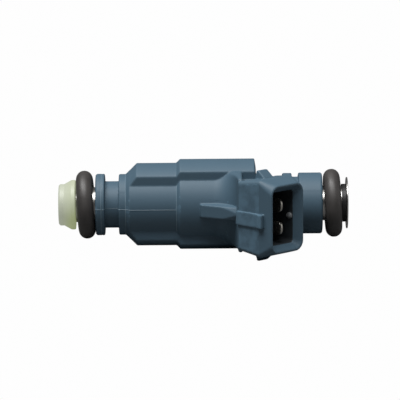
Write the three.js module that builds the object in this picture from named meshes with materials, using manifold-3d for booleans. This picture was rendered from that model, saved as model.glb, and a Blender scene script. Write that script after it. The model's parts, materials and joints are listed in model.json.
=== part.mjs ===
// Port fuel injector: a steel valve and magnet inside an overmoulded plastic body
// with a two-blade socket. Sizes are in millimetres.
//
// Frame: +X runs along the injector's axis toward the fuel inlet, -Y is the socket
// side and +Z is up. The origin is on the axis, in the middle plane of the lower O-ring.

import * as THREE from "three";
import { mergeVertices } from "three/addons/utils/BufferGeometryUtils.js";
import Module from "manifold-3d";

const wasm = await Module();
wasm.setup();

// ---- Driving dimensions ----

const SIDES = 32; // sides of every round piece on the axis
const RUN = 0.05; // radial clearance between nested round pieces
const BUTT = 0.05; // axial clearance between stacked pieces
const CUT = 0.3; // gap round a piece that passes through the moulding

const ringBore = 7.52; // inner diameter of both O-rings
const ringCord = 3.53; // thickness of both O-rings
const ringSpan = 52.84; // from the lower O-ring to the upper one
const ringStretch = 0.03; // radial clearance of the rings on their tubes

const capReach = 5.76; // from the lower O-ring to the tip of the cap
const capRadius = 4.43;
const capLipRadius = 5.3;
const capLipWidth = 0.88;
const capConeLength = 1.56; // flare between the cap's barrel and its lip
const capMouthRadius = 2.5; // spray opening

const flangeWidth = 1.93;
const flangeRadius = 6.55;
const flangeGroove = 0.12; // depth and half width of the line round the flange
const waistWidth = 3.07;
const waistRadius = 4.95;
const shoulderWidth = 1.44;
const shoulderRadius = 6.47;
const frontRadius = 7.35; // body between the shoulder and the coil
const frontLength = 8.45; // its straight length under the full-height ridges
const coilBodyRadius = 8.15; // body round the coil
const coilBodyLength = 16.15;
const stepHeight = coilBodyRadius - frontRadius;
const ridgeRise = 1.48; // ridges stand this far out of the body
const ridgeWidth = 11.06;
const ridgeLean = 0.25; // slope of the ridges' inlet end
const ridgeLap = 0.6; // the socket's root starts this far inside the ridges' sides
const neckRadius = 5.64;
const rearRadius = 6.5; // body behind the rail clip's groove
const rearLength = 5.05;
const clipGroove = 1.45; // groove for the rail clip
const collarWidth = 1.95;
const collarRadius = 6.43;
const edgeChamfer = 0.3;

const rootFace = 32.4; // nozzle-side face of the socket's root
const rootReach = 14.75; // distance from the axis where that face meets the hood
const rootHalfWidth = 6; // thick part of the root, along Z
const rootBlockLength = 4.4; // the same, along the axis
const rootStepBack = 1.2; // the thick part ends this far short of the hood's wall
const webHalfWidth = 7.9; // thin web that the sweep runs up to
const webThickness = 1;
const rootFillet = 5.2; // length along the body of the concave sweep up to the root's face
const socketTilt = 45; // degrees from straight out toward the inlet
const hoodLength = 9.7; // nozzle-side wall of the hood
const hoodThickness = 9.7; // across the blades at the rim
const hoodSwell = 0.35; // extra half thickness behind the rim's taper
const hoodHalfWidth = 8.2;
const hoodBaseNarrowing = 0.5;
const rimNarrowing = 1;
const rimTaper = 3.4; // length of the taper behind the rim
const rimCorner = 2.2;
const hoodCorner = 0.9;
const rimWallAcross = 0.45; // wall at the rim on the long sides
const rimWallAlong = 0.5; // wall at the rim on the short sides
const leadInAcross = 1.4; // bevel from the rim into the cavity, on the inlet-side wall
const leadInAlong = 1.1; // the same on the short sides; the nozzle-side wall is straight
const leadDepth = 1.4; // depth of the bevel
const cavityDepth = 9;
const cavityCorner = 0.8;
const mouthCorner = 1.6;

const keyWidth = 2.8; // side keys, for the plug's wire clip
const keyRise = 1.4;
const keySetback = 4.65; // from the rim to the foot of the key's ramp
const keyRamp = 1.15;
const keyTop = 1.15;
const keyBack = 0.45; // slope of its far side
const keyOffset = 0.75;
const keySink = 1; // it starts this far inside the wall
const clipPocketDepth = 1.5; // pocket behind the key for the wire clip
const clipPocketWall = 1; // wall left on the nozzle side of the pocket
const lugWidth = 2.9; // latch lug on the nozzle-side wall
const lugOffset = -0.3; // its middle, from the plane of the axis
const lugLow = 0.45;
const lugHigh = 0.85;
const lugSetback = 1.9;
const lugHeadLength = 1.4;
const lugRamp = 0.3; // slope up to its head, and its front edge's bevel
const lugSink = 1; // it starts this far inside the wall
const pipRadius = 0.65; // polarising pip on the socket's inlet-side wall
const pipDepth = 2.3;
const pipStretch = 1.3; // its length along the socket over its width
const ribStart = 24.5; // gusset rib on the parting plane
const ribHalfWidth = 1.4;
const ribRise = 0.75;
const ribTop = 13.7;
const ribNose = 0.4; // bevel at its start

const bladeWidth = 2.8;
const bladeThickness = 0.64;
const bladePitch = 4.8;
const bladeSetback = 1.65; // from the rim to the blade's tip
const bladeCorner = 1.0;
const bladeFoot = 5.3; // distance from the axis where the terminal starts
const slotSetback = 8; // from the rim to the end of the terminal's channel

const shellStep = 0.62; // valve body is thicker than its seal seat by this
const shellWall = 1.05;
const shellStepAt = 9.9;
const noseStep = 0.35; // the nose under the cap is thinner than the seal seat by this
const sealGap = 0.395; // from the lower O-ring's side to the flange and to the cap
const railSealGap = 0.525; // from the body's end to the upper O-ring's side
const needleBore = 2.05; // bore of the valve body round the needle, a radius
const seatDepth = 4.75; // from the lower O-ring to the seat's outer face
const seatLength = 2.1;
const plateThickness = 0.2;
const plateHoles = 4;
const plateHoleRadius = 0.13;
const plateHoleCircle = 0.26;
const ballRadius = 1.75;
const seatTouch = 0.01; // clearance of the ball to its seat
const sacRadius = 0.375;
const ballSetback = 2.5; // from the seat's outer face to the ball's centre
const needleGrip = 1.6275; // from the ball's centre to the needle's end
const needleRadius = 1.25;
const needleWall = 0.5;
const needleSlotWidth = 0.7;
const needleSlotSetback = 3; // from the needle's end and from the armature to the slot
const armatureLength = 8;
const armatureClearance = 0.06;
const springSeatDepth = 2.5; // pocket for the spring in the armature
const boreTaper = 1.5; // length of the taper from the needle's bore to the armature's
const poleGap = 0.12; // armature to pole, with the valve shut
const spacerLength = 5.5;
const springBore = 1.65; // pole bore radius, for spring and sleeve
const springRadius = 1.25; // to the middle of the wire
const springWire = 0.42;
const springTurns = 6;
const springLength = 8.4;
const sleeveWall = 0.45;
const sleeveLength = 7;
const sleeveSlit = 0.7;

const jacketStart = 20.8;
const jacketLength = 12.8;
const jacketCover = 0.95; // plastic outside the magnet jacket
const jacketWall = 0.45;
const jacketFloor = 0.8;
const washerWidth = 1.0;
const bobbinHub = 0.45;
const bobbinFlange = 0.7;
const bobbinGap = 0.1; // bobbin's flanges to the jacket
const windingGap = 0.35; // winding to the jacket
const towerHalfWidth = 4.2;
const towerDepth = 1.4;

const filterCollarLength = 1.6;
const filterLength = 9;
const filterBore = 2.9; // bore of the inlet tube round the filter
const filterWall = 0.35;
const filterRibs = 3;
const filterGap = 0.5; // cage to the inlet tube's bore
const filterFloor = 0.8;
const filterRim = 0.8; // closed ring at the cage's open end
const filterSill = 0.4; // from the floor to the windows
const filterRibAngle = 0.3; // half angle left between windows, in radians
const filterHub = 0.2; // distance from the axis where the windows' wedges start
const collarWall = 0.4;
const meshThickness = 0.15;
const inletTaperGap = 1; // from the filter's floor to the end of its bore
const inletFlare = 5.49; // radius of the inlet tube's flared end
const flareWidth = 0.3;
const supportWidth = 0.95;
const supportThickness = 0.33;
const supportSetback = 0.1; // from the upper O-ring's side to the support ring

// ---- Stations and radii that follow ----

const tubeRadius = ringBore / 2 - ringStretch;
const ringRadius = ringBore / 2 + ringCord / 2;
const shellRadius = tubeRadius + shellStep;
const shellBore = shellRadius - shellWall;
const noseRadius = tubeRadius - noseStep;
const lipEnd = -ringCord / 2 - sealGap;
const plateFace = -seatDepth - plateThickness - 2 * BUTT;

const flangeStart = ringCord / 2 + sealGap;
const waistStart = flangeStart + flangeWidth;
const shoulderStart = waistStart + waistWidth;
const coneStart = shoulderStart + shoulderWidth;
const coneEnd = coneStart + frontRadius + ridgeRise - shoulderRadius;
const stepStart = coneEnd + frontLength;
const coilBodyStart = stepStart + stepHeight;
const coilBodyEnd = coilBodyStart + coilBodyLength;
const bodyEnd = ringSpan - ringCord / 2 - railSealGap;
const rearStart = bodyEnd - rearLength;
const collarEnd = rearStart - clipGroove;
const collarStart = collarEnd - collarWidth;

const supportStart = ringSpan + ringCord / 2 + supportSetback;
const flareStart = supportStart + supportWidth + BUTT;
const inletEnd = flareStart + flareWidth;

const jacketEnd = jacketStart + jacketLength;
const jacketRadius = coilBodyRadius - jacketCover;
const jacketBore = jacketRadius - jacketWall;
const bobbinStart = jacketStart + jacketFloor + BUTT;
const bobbinEnd = jacketEnd - washerWidth - BUTT;
const bobbinBore = shellRadius + RUN;
const hubRadius = bobbinBore + bobbinHub;
const poleFace = (bobbinStart + bobbinEnd) / 2;
const spacerStart = poleFace - spacerLength / 2;
const spacerEnd = spacerStart + spacerLength;
const towerEnd = jacketEnd + BUTT;

const ballCentre = ballSetback - seatDepth;
const needleStart = ballCentre + needleGrip;
const armatureEnd = poleFace - poleGap;
const armatureStart = armatureEnd - armatureLength;
const armatureRadius = shellBore - armatureClearance;
const needleEnd = armatureEnd - springSeatDepth;
const springStart = needleEnd + BUTT;
const springEnd = springStart + springLength;
const sleeveStart = springEnd + BUTT;
const sleeveEnd = sleeveStart + sleeveLength;
const filterStart = inletEnd - filterLength - filterCollarLength;
const filterRadius = filterBore - filterGap;

const tilt = THREE.MathUtils.degToRad(socketTilt);
const outward = new THREE.Vector3(Math.sin(tilt), -Math.cos(tilt), 0);
const across = new THREE.Vector3(Math.cos(tilt), Math.sin(tilt), 0);
const rimNear = new THREE.Vector3(rootFace, -rootReach, 0).addScaledVector(outward, hoodLength);
const rimCentre = rimNear.addScaledVector(across, hoodThickness / 2);
const rimHalf = hoodThickness / 2;
const terminalX = towerEnd + CUT + bladeThickness / 2;
const mouthU = rimHalf - rimWallAcross;
const mouthV = hoodHalfWidth - rimNarrowing - rimWallAlong;

// ---- Solids ----

// Triangles without the collapsed ones, turned to face outward.
function outwardTriangles(geometry) {
  const position = geometry.getAttribute("position");
  const corner = [0, 1, 2].map(() => new THREE.Vector3());
  const kept = [];
  let volume = 0;
  for (let i = 0; i < geometry.index.count; i += 3) {
    const [a, b, c] = [0, 1, 2].map((k) => geometry.index.getX(i + k));
    if (a === b || b === c || c === a) continue;
    [a, b, c].forEach((vertex, k) => corner[k].fromBufferAttribute(position, vertex));
    volume += corner[0].dot(corner[1].clone().cross(corner[2]));
    kept.push([a, b, c]);
  }
  return new Uint32Array(kept.flatMap(([a, b, c]) => (volume < 0 ? [a, c, b] : [a, b, c])));
}

// A manifold-3d solid from a closed three.js geometry.
function solid(geometry) {
  const bare = geometry.index ? geometry.toNonIndexed() : geometry.clone();
  bare.deleteAttribute("normal");
  bare.deleteAttribute("uv");
  const merged = mergeVertices(bare, 1e-4);
  const mesh = new wasm.Mesh({
    numProp: 3,
    vertProperties: merged.getAttribute("position").array,
    triVerts: outwardTriangles(merged),
  });
  return new wasm.Manifold(mesh);
}

// A solid of revolution about X from [x, radius] corners.
function turned(corners, sides = SIDES) {
  const points = corners.map(([x, radius]) => new THREE.Vector2(radius, x));
  const onAxis = points[0].x === 0 && points[points.length - 1].x === 0;
  if (!onAxis) points.push(points[0].clone());
  const geometry = new THREE.LatheGeometry(points, sides);
  geometry.rotateZ(-Math.PI / 2);
  return solid(geometry);
}

// A plain ring or tube about X.
function ring(start, end, outer, inner) {
  return turned([
    [start, inner],
    [start, outer],
    [end, outer],
    [end, inner],
  ]);
}

// A box from its low and high corners.
function block(low, high) {
  const size = high.map((value, axis) => value - low[axis]);
  const middle = high.map((value, axis) => (value + low[axis]) / 2);
  const geometry = new THREE.BoxGeometry(...size);
  geometry.translate(...middle);
  return solid(geometry);
}

// A prism along Z from [x, distance from the axis on the socket side] corners.
function prism(corners, halfWidth) {
  const shape = new THREE.Shape(corners.map(([x, out]) => new THREE.Vector2(x, -out)));
  const geometry = new THREE.ExtrudeGeometry(shape, { depth: 2 * halfWidth, bevelEnabled: false });
  geometry.translate(0, 0, -halfWidth);
  return solid(geometry);
}

// A closed skin through sections of equal count; each cap is a fan from its last point.
function skinned(sections) {
  const count = sections[0].length;
  const positions = sections.flat().flatMap((point) => point.toArray());
  const index = [];
  for (let s = 0; s + 1 < sections.length; s += 1) {
    for (let i = 0; i < count; i += 1) {
      const j = (i + 1) % count;
      const [a, b] = [s * count + i, s * count + j];
      index.push(a, b, b + count, a, b + count, a + count);
    }
  }
  const top = (sections.length - 1) * count;
  for (let i = 0; i + 2 < count; i += 1) {
    index.push(count - 1, i + 1, i);
    index.push(top + count - 1, top + i, top + i + 1);
  }
  const geometry = new THREE.BufferGeometry();
  geometry.setAttribute("position", new THREE.Float32BufferAttribute(positions, 3));
  geometry.setIndex(index);
  return solid(geometry);
}

// A rounded rectangle in the socket's frame: u across the blades, v along Z.
function roundedSection(halfU, halfV, radius, height, middle = 0) {
  const cornerSteps = 3;
  const points = [];
  const corners = [
    [1, 1],
    [-1, 1],
    [-1, -1],
    [1, -1],
  ];
  corners.forEach(([signU, signV], quarter) => {
    for (let step = 0; step <= cornerSteps; step += 1) {
      const angle = (quarter + step / cornerSteps) * (Math.PI / 2);
      const u = middle + signU * (halfU - radius) + radius * Math.cos(angle);
      const v = signV * (halfV - radius) + radius * Math.sin(angle);
      points.push(new THREE.Vector3(u, v, height));
    }
  });
  return points;
}

// Moves a solid from the socket's frame (u, v, outward from the rim) to the part's frame.
function inSocket(body) {
  const basis = new THREE.Matrix4().makeBasis(across, new THREE.Vector3(0, 0, 1), outward);
  return body.transform(basis.setPosition(rimCentre).toArray());
}

// ---- The plastic body ----

function bodyProfile() {
  return [
    [flangeStart, 0],
    [flangeStart, flangeRadius - edgeChamfer],
    [flangeStart + edgeChamfer, flangeRadius],
    [waistStart - edgeChamfer * 2 - flangeGroove, flangeRadius],
    [waistStart - edgeChamfer * 2, flangeRadius - flangeGroove],
    [waistStart - edgeChamfer * 2 + flangeGroove, flangeRadius],
    [waistStart - edgeChamfer / 2, flangeRadius],
    [waistStart, flangeRadius - edgeChamfer / 2],
    [waistStart, waistRadius],
    [shoulderStart, waistRadius],
    [shoulderStart, shoulderRadius - edgeChamfer / 2],
    [shoulderStart + edgeChamfer / 2, shoulderRadius],
    [coneStart, shoulderRadius],
    [coneStart + frontRadius - shoulderRadius, frontRadius],
    [stepStart, frontRadius],
    [coilBodyStart, coilBodyRadius],
    [coilBodyEnd, coilBodyRadius],
    [coilBodyEnd, neckRadius],
    [collarStart, neckRadius],
    [collarStart, collarRadius - edgeChamfer / 2],
    [collarStart + edgeChamfer / 2, collarRadius],
    [collarEnd - edgeChamfer / 2, collarRadius],
    [collarEnd, collarRadius - edgeChamfer / 2],
    [collarEnd, neckRadius],
    [rearStart, neckRadius],
    [rearStart, rearRadius - edgeChamfer / 2],
    [rearStart + edgeChamfer / 2, rearRadius],
    [bodyEnd - edgeChamfer, rearRadius],
    [bodyEnd, rearRadius - edgeChamfer],
    [bodyEnd, 0],
  ];
}

function ridges() {
  const whole = turned([
    [coneStart, 0],
    [coneStart, shoulderRadius],
    [coneEnd, frontRadius + ridgeRise],
    [stepStart, frontRadius + ridgeRise],
    [coilBodyStart, coilBodyRadius + ridgeRise],
    [coilBodyEnd - ridgeLean, coilBodyRadius + ridgeRise],
    [coilBodyEnd, coilBodyRadius],
    [coilBodyEnd, 0],
  ]);
  const tall = coilBodyRadius + ridgeRise + 1;
  const half = ridgeWidth / 2;
  return whole.intersect(block([coneStart, -half, -tall], [coilBodyEnd, half, tall]));
}

// Concave sweep, a quarter ellipse in each slice, from the round body to the root's face.
function rootSweep() {
  const slices = 10;
  const arcSteps = 4;
  const sections = [];
  for (let slice = 0; slice <= slices; slice += 1) {
    const z = webHalfWidth * ((2 * slice) / slices - 1);
    const surface = Math.sqrt(coilBodyRadius ** 2 - z ** 2);
    const section = [];
    for (let step = 0; step <= arcSteps; step += 1) {
      const angle = (step / arcSteps) * (Math.PI / 2);
      const x = rootFace - rootFillet * (1 - Math.sin(angle));
      const out = surface + (rootReach - surface) * (1 - Math.cos(angle));
      section.push(new THREE.Vector3(x, -out, z));
    }
    section.push(new THREE.Vector3(rootFace + webThickness, -rootReach, z));
    section.push(new THREE.Vector3(rootFace + webThickness, 1 - surface, z));
    sections.push(section);
  }
  return skinned(sections);
}

// Block between the body and the hood; its outer end slopes along the hood's base.
function root() {
  const far = rootFace + rootBlockLength;
  const inner = ridgeWidth / 2 - ridgeLap;
  const corners = [
    [rootFace, inner],
    [rootFace, rootReach - rootStepBack],
    [far, rootReach - rootStepBack - rootBlockLength * Math.tan(tilt)],
    [far, inner],
  ];
  return prism(corners, rootHalfWidth).add(rootSweep());
}

function hood() {
  const back = hoodLength + coilBodyRadius;
  const swollen = rimHalf + hoodSwell;
  const baseWidth = hoodHalfWidth - hoodBaseNarrowing;
  const rimWidth = hoodHalfWidth - rimNarrowing;
  const whole = skinned([
    roundedSection(swollen, baseWidth, hoodCorner, -back),
    roundedSection(swollen, baseWidth, hoodCorner, -hoodLength),
    roundedSection(swollen, hoodHalfWidth, hoodCorner, -rimTaper),
    roundedSection(rimHalf, rimWidth, rimCorner, 0),
  ]);
  const far = rimCentre.x + hoodThickness;
  const out = hoodThickness - rimCentre.y;
  const keep = block([rootFace, -out, -2 * hoodHalfWidth], [far, 0, 2 * hoodHalfWidth]);
  return inSocket(whole.subtract(clipPockets())).intersect(keep);
}

// Pocket behind each key, open toward the inlet side.
function clipPockets() {
  const near = clipPocketWall - rimHalf - hoodSwell;
  const end = -keySetback - keyRamp - keyTop - keyBack;
  const floor = hoodHalfWidth - hoodBaseNarrowing - clipPocketDepth;
  const upper = block(
    [near, floor, -3 * hoodLength],
    [2 * hoodThickness, 2 * hoodHalfWidth, end],
  );
  return upper.add(upper.mirror([0, 1, 0]));
}

// A wedge on each narrow side of the hood; its ramp faces the rim.
function sideKeys() {
  const foot = hoodHalfWidth - keySink;
  const top = hoodHalfWidth + keyRise;
  const profile = [
    [foot, -keySetback],
    [hoodHalfWidth, -keySetback],
    [top, -keySetback - keyRamp],
    [top, -keySetback - keyRamp - keyTop],
    [hoodHalfWidth, -keySetback - keyRamp - keyTop - keyBack],
    [foot, -keySetback - keyRamp - keyTop - keyBack],
  ];
  const section = (u) => profile.map(([v, w]) => new THREE.Vector3(u - keyOffset, v, w));
  const upper = skinned([section(-keyWidth / 2), section(keyWidth / 2)]);
  return inSocket(upper.add(upper.mirror([0, 1, 0])));
}

function latchLug() {
  const wall = -rimHalf - hoodSwell;
  const profile = [
    [wall + lugSink, -hoodLength],
    [wall - lugLow, -hoodLength],
    [wall - lugLow, -lugSetback - lugHeadLength - lugRamp],
    [wall - lugHigh, -lugSetback - lugHeadLength],
    [wall - lugHigh, -lugSetback - lugRamp],
    [wall - lugHigh + lugRamp, -lugSetback],
    [wall + lugSink, -lugSetback],
  ];
  const section = (v) => profile.map(([u, w]) => new THREE.Vector3(u, v, w));
  const half = lugWidth / 2;
  return inSocket(skinned([section(lugOffset - half), section(lugOffset + half)]));
}

function gussetRib() {
  const start = coilBodyRadius + ribRise;
  const corners = [
    [ribStart, coilBodyRadius - 1],
    [ribStart, start - ribNose],
    [ribStart + ribNose, start],
    [rootFace + 1, ribTop + (ribTop - start) / (rootFace - ribStart)],
    [rootFace + 1, coilBodyRadius - 1],
  ];
  return prism(corners, ribHalfWidth);
}

// The socket's hollow: a straight wall on the nozzle side and bevels on the other three.
function cavity() {
  const deep = (height) =>
    roundedSection(
      mouthU - leadInAcross / 2,
      mouthV - leadInAlong,
      cavityCorner,
      height,
      -leadInAcross / 2,
    );
  return inSocket(
    skinned([
      deep(-cavityDepth),
      deep(-leadDepth),
      roundedSection(mouthU, mouthV, mouthCorner, 0),
      roundedSection(mouthU, mouthV, mouthCorner, 1),
    ]),
  );
}

function polarisingPip() {
  const wall = mouthU - leadInAcross;
  const geometry = new THREE.SphereGeometry(pipRadius, 12, 8);
  geometry.scale(1, 1, pipStretch);
  geometry.translate(wall, 0, -pipDepth);
  return inSocket(solid(geometry));
}

// The space that the steel parts take up, with their clearance.
function bodyBore() {
  const tube = tubeRadius + RUN;
  const shell = shellRadius + RUN;
  const jacket = jacketRadius + RUN;
  return turned([
    [flangeStart - 1, 0],
    [flangeStart - 1, tube],
    [shellStepAt - BUTT, tube],
    [shellStepAt - BUTT, shell],
    [jacketStart - BUTT, shell],
    [jacketStart - BUTT, jacket],
    [jacketEnd + BUTT, jacket],
    [jacketEnd + BUTT, tube],
    [bodyEnd + 1, tube],
    [bodyEnd + 1, 0],
  ]);
}

function towerPocket() {
  const half = towerHalfWidth + CUT;
  return block([jacketEnd - 1, -jacketBore, -half], [towerEnd + CUT, -hubRadius, half]);
}

function housing() {
  const socketBody = hood().add(sideKeys()).add(latchLug());
  const outside = turned(bodyProfile()).add(ridges()).add(root()).add(gussetRib());
  const hollow = cavity().subtract(polarisingPip());
  const channels = terminalSlot(1).add(terminalSlot(-1));
  return outside.add(socketBody).subtract(hollow).subtract(bodyBore()).subtract(towerPocket())
    .subtract(channels);
}

// ---- Terminals ----

// Strip that runs out from the coil and bends along the socket's axis.
function terminalStrip(side, thickness, width, foot, tipSetback) {
  const half = thickness / 2;
  const bendOut = -rimCentre.y - (rimCentre.x - terminalX) / Math.tan(tilt);
  const inner = half * Math.tan(tilt / 2);
  const tip = rimCentre.clone().addScaledVector(outward, -tipSetback);
  const shift = across.clone().multiplyScalar(half);
  const corners = [
    [terminalX - half, foot],
    [terminalX - half, bendOut + inner],
    [tip.x - shift.x, -tip.y + shift.y],
    [tip.x + shift.x, -tip.y - shift.y],
    [terminalX + half, bendOut - inner],
    [terminalX + half, foot],
  ];
  return prism(corners, width / 2).translate([0, 0, (side * bladePitch) / 2]);
}

function terminalSlot(side) {
  const gap = 2 * CUT;
  return terminalStrip(side, bladeThickness + gap, bladeWidth + gap, bladeFoot - CUT, slotSetback);
}

// Rounds the blade's two tip corners.
function bladeEnvelope(side) {
  const half = bladeWidth / 2;
  const long = hoodLength + 2 * coilBodyRadius;
  const section = (u) => {
    const points = [];
    for (const [sign, first] of [
      [1, 0],
      [-1, 1],
    ]) {
      for (let step = 0; step <= 3; step += 1) {
        const angle = (first + step / 3) * (Math.PI / 2);
        const v = sign * (half - bladeCorner) + bladeCorner * Math.cos(angle);
        const w = -bladeSetback - bladeCorner + bladeCorner * Math.sin(angle);
        points.push(new THREE.Vector3(u, v + (side * bladePitch) / 2, w));
      }
    }
    points.push(new THREE.Vector3(u, (side * bladePitch) / 2 - half, -long));
    points.push(new THREE.Vector3(u, (side * bladePitch) / 2 + half, -long));
    return points;
  };
  return inSocket(skinned([section(-long), section(long)]));
}

function terminal(side) {
  const strip = terminalStrip(side, bladeThickness, bladeWidth, bladeFoot, bladeSetback);
  return strip.intersect(bladeEnvelope(side));
}

// ---- Seals and cap ----

function oRing(station) {
  const cordSides = 12;
  const corners = [];
  for (let i = 0; i < cordSides; i += 1) {
    const angle = ((i + 0.5) / cordSides) * 2 * Math.PI;
    const reach = ringCord / 2;
    corners.push([station + reach * Math.sin(angle), ringRadius + reach * Math.cos(angle)]);
  }
  return turned(corners);
}

function pintleCap() {
  const bore = noseRadius + RUN;
  const lipStart = lipEnd - capLipWidth;
  return turned([
    [-capReach, capMouthRadius + edgeChamfer],
    [-capReach, capRadius - edgeChamfer],
    [edgeChamfer - capReach, capRadius],
    [lipStart - capConeLength, capRadius],
    [lipStart, capLipRadius],
    [lipEnd - edgeChamfer / 2, capLipRadius],
    [lipEnd, capLipRadius - edgeChamfer / 2],
    [lipEnd, bore],
    [plateFace - BUTT, bore],
    [plateFace - BUTT, capMouthRadius],
    [edgeChamfer - capReach, capMouthRadius],
  ]);
}

function supportRing() {
  const inner = tubeRadius + RUN;
  return ring(supportStart, supportStart + supportWidth, inner + supportThickness - RUN, inner);
}

// ---- Valve ----

function valveBody() {
  return turned([
    [plateFace, needleBore],
    [plateFace, noseRadius],
    [lipEnd + BUTT, noseRadius],
    [lipEnd + BUTT, tubeRadius],
    [shellStepAt, tubeRadius],
    [shellStepAt, shellRadius],
    [spacerStart - BUTT, shellRadius],
    [spacerStart - BUTT, shellBore],
    [armatureStart - boreTaper, shellBore],
    [armatureStart - 2 * boreTaper, needleBore],
  ]);
}

function valveSeat() {
  const touch = Math.SQRT2 * (ballRadius + seatTouch);
  const start = -seatDepth;
  const end = start + seatLength;
  const guide = ballRadius + RUN;
  const coneAt = (radius) => ballCentre - touch + radius;
  return turned([
    [start, sacRadius],
    [start, needleBore - RUN],
    [end, needleBore - RUN],
    [end, guide],
    [coneAt(guide), guide],
    [coneAt(sacRadius), sacRadius],
  ]);
}

function orificePlate() {
  const shape = new THREE.Shape();
  shape.absarc(0, 0, needleBore - RUN, 0, 2 * Math.PI);
  for (let i = 0; i < plateHoles; i += 1) {
    const angle = ((i + 0.5) / plateHoles) * 2 * Math.PI;
    const hole = new THREE.Path();
    const [y, z] = [plateHoleCircle * Math.cos(angle), plateHoleCircle * Math.sin(angle)];
    hole.absarc(y, z, plateHoleRadius, 0, 2 * Math.PI);
    shape.holes.push(hole);
  }
  const options = { depth: plateThickness, bevelEnabled: false, curveSegments: 8 };
  const geometry = new THREE.ExtrudeGeometry(shape, options);
  geometry.rotateY(Math.PI / 2);
  geometry.translate(-seatDepth - BUTT - plateThickness, 0, 0);
  return solid(geometry);
}

function valveBall() {
  const geometry = new THREE.SphereGeometry(ballRadius, 20, 12);
  geometry.translate(ballCentre, 0, 0);
  return solid(geometry);
}

function needleTube() {
  const bore = needleRadius - needleWall;
  const whole = ring(needleStart, needleEnd, needleRadius, bore);
  const slotStart = needleStart + needleSlotSetback;
  const half = needleSlotWidth / 2;
  const slotEnd = armatureStart - needleSlotSetback;
  const reach = needleRadius + 1;
  return whole.subtract(block([slotStart, -half, 0], [slotEnd, half, reach]));
}

function armature() {
  const bore = needleRadius + RUN;
  const pocket = springBore;
  return turned([
    [armatureStart, bore],
    [armatureStart, armatureRadius - edgeChamfer],
    [armatureStart + edgeChamfer, armatureRadius],
    [armatureEnd - edgeChamfer, armatureRadius],
    [armatureEnd, armatureRadius - edgeChamfer],
    [armatureEnd, pocket],
    [needleEnd, pocket],
    [needleEnd, bore],
  ]);
}

// Helix of wire between the needle's end and the adjusting sleeve.
function returnSpring() {
  const stepsPerTurn = 12;
  const start = springStart + springWire / 2 + BUTT;
  const rise = springLength - springWire - 2 * BUTT;
  const points = [];
  for (let i = 0; i <= springTurns * stepsPerTurn; i += 1) {
    const turn = i / stepsPerTurn;
    const angle = turn * 2 * Math.PI;
    const x = start + (rise * turn) / springTurns;
    points.push(new THREE.Vector3(x, springRadius * Math.cos(angle), springRadius * Math.sin(angle)));
  }
  const section = new THREE.Shape();
  section.absarc(0, 0, springWire / 2, 0, 2 * Math.PI);
  const geometry = new THREE.ExtrudeGeometry(section, {
    steps: springTurns * stepsPerTurn,
    curveSegments: 3,
    bevelEnabled: false,
    extrudePath: new THREE.CatmullRomCurve3(points),
  });
  return solid(geometry);
}

function adjustingSleeve() {
  const outer = springBore - RUN;
  const whole = ring(sleeveStart, sleeveEnd, outer, outer - sleeveWall);
  const half = sleeveSlit / 2;
  return whole.subtract(block([sleeveStart - 1, -half, 0], [sleeveEnd + 1, half, springBore + 1]));
}

// ---- Magnet ----

function spacerSleeve() {
  return ring(spacerStart, spacerEnd, shellRadius, shellBore);
}

// Fuel tube; its lower end is the magnet's pole.
function inletTube() {
  const shoulderEnd = jacketEnd;
  return turned([
    [poleFace, springBore],
    [poleFace, armatureRadius],
    [spacerEnd + BUTT, armatureRadius],
    [spacerEnd + BUTT, shellRadius],
    [shoulderEnd, shellRadius],
    [shoulderEnd, tubeRadius],
    [flareStart, tubeRadius],
    [flareStart, inletFlare],
    [inletEnd, inletFlare],
    [inletEnd, filterBore],
    [filterStart - inletTaperGap, filterBore],
    [filterStart - inletTaperGap - (filterBore - springBore), springBore],
  ]);
}

function magnetJacket() {
  return turned([
    [jacketStart, shellRadius + RUN],
    [jacketStart, jacketRadius],
    [jacketEnd, jacketRadius],
    [jacketEnd, jacketBore],
    [jacketStart + jacketFloor, jacketBore],
    [jacketStart + jacketFloor, shellRadius + RUN],
  ]);
}

function fluxWasher() {
  const whole = ring(jacketEnd - washerWidth, jacketEnd, jacketBore - RUN, shellRadius + RUN);
  const half = towerHalfWidth + CUT;
  const slot = block([0, -jacketRadius, -half], [jacketEnd + 1, -hubRadius + CUT, half]);
  return whole.subtract(slot);
}

function coilBobbin() {
  const flange = jacketBore - bobbinGap;
  const spool = turned([
    [bobbinStart, bobbinBore],
    [bobbinStart, flange],
    [bobbinStart + bobbinFlange, flange],
    [bobbinStart + bobbinFlange, hubRadius],
    [bobbinEnd - bobbinFlange, hubRadius],
    [bobbinEnd - bobbinFlange, flange],
    [bobbinEnd, flange],
    [bobbinEnd, bobbinBore],
  ]);
  const tower = block(
    [bobbinEnd - bobbinFlange / 2, -hubRadius - towerDepth, -towerHalfWidth],
    [towerEnd, -hubRadius - RUN, towerHalfWidth],
  );
  const limit = ring(bobbinStart, towerEnd, flange, bobbinBore);
  return spool.add(tower.intersect(limit));
}

function coilWinding() {
  const start = bobbinStart + bobbinFlange + BUTT;
  const end = bobbinEnd - bobbinFlange - BUTT;
  return ring(start, end, jacketBore - windingGap, hubRadius + RUN);
}

// ---- Inlet filter ----

function filterCollar() {
  const outer = filterBore - RUN;
  return ring(inletEnd - filterCollarLength, inletEnd - BUTT, outer, outer - collarWall);
}

// Cage with windows, closed toward the valve.
function filterBasket() {
  const inner = filterRadius - filterWall;
  const end = inletEnd - filterCollarLength - BUTT;
  const cage = turned([
    [filterStart, 0],
    [filterStart, filterRadius],
    [end, filterRadius],
    [end, inner],
    [filterStart + filterFloor, inner],
    [filterStart + filterFloor, 0],
  ]);
  const sill = filterStart + filterFloor + filterSill;
  return cage.subtract(filterWindows(sill, end - filterRim));
}

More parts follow.
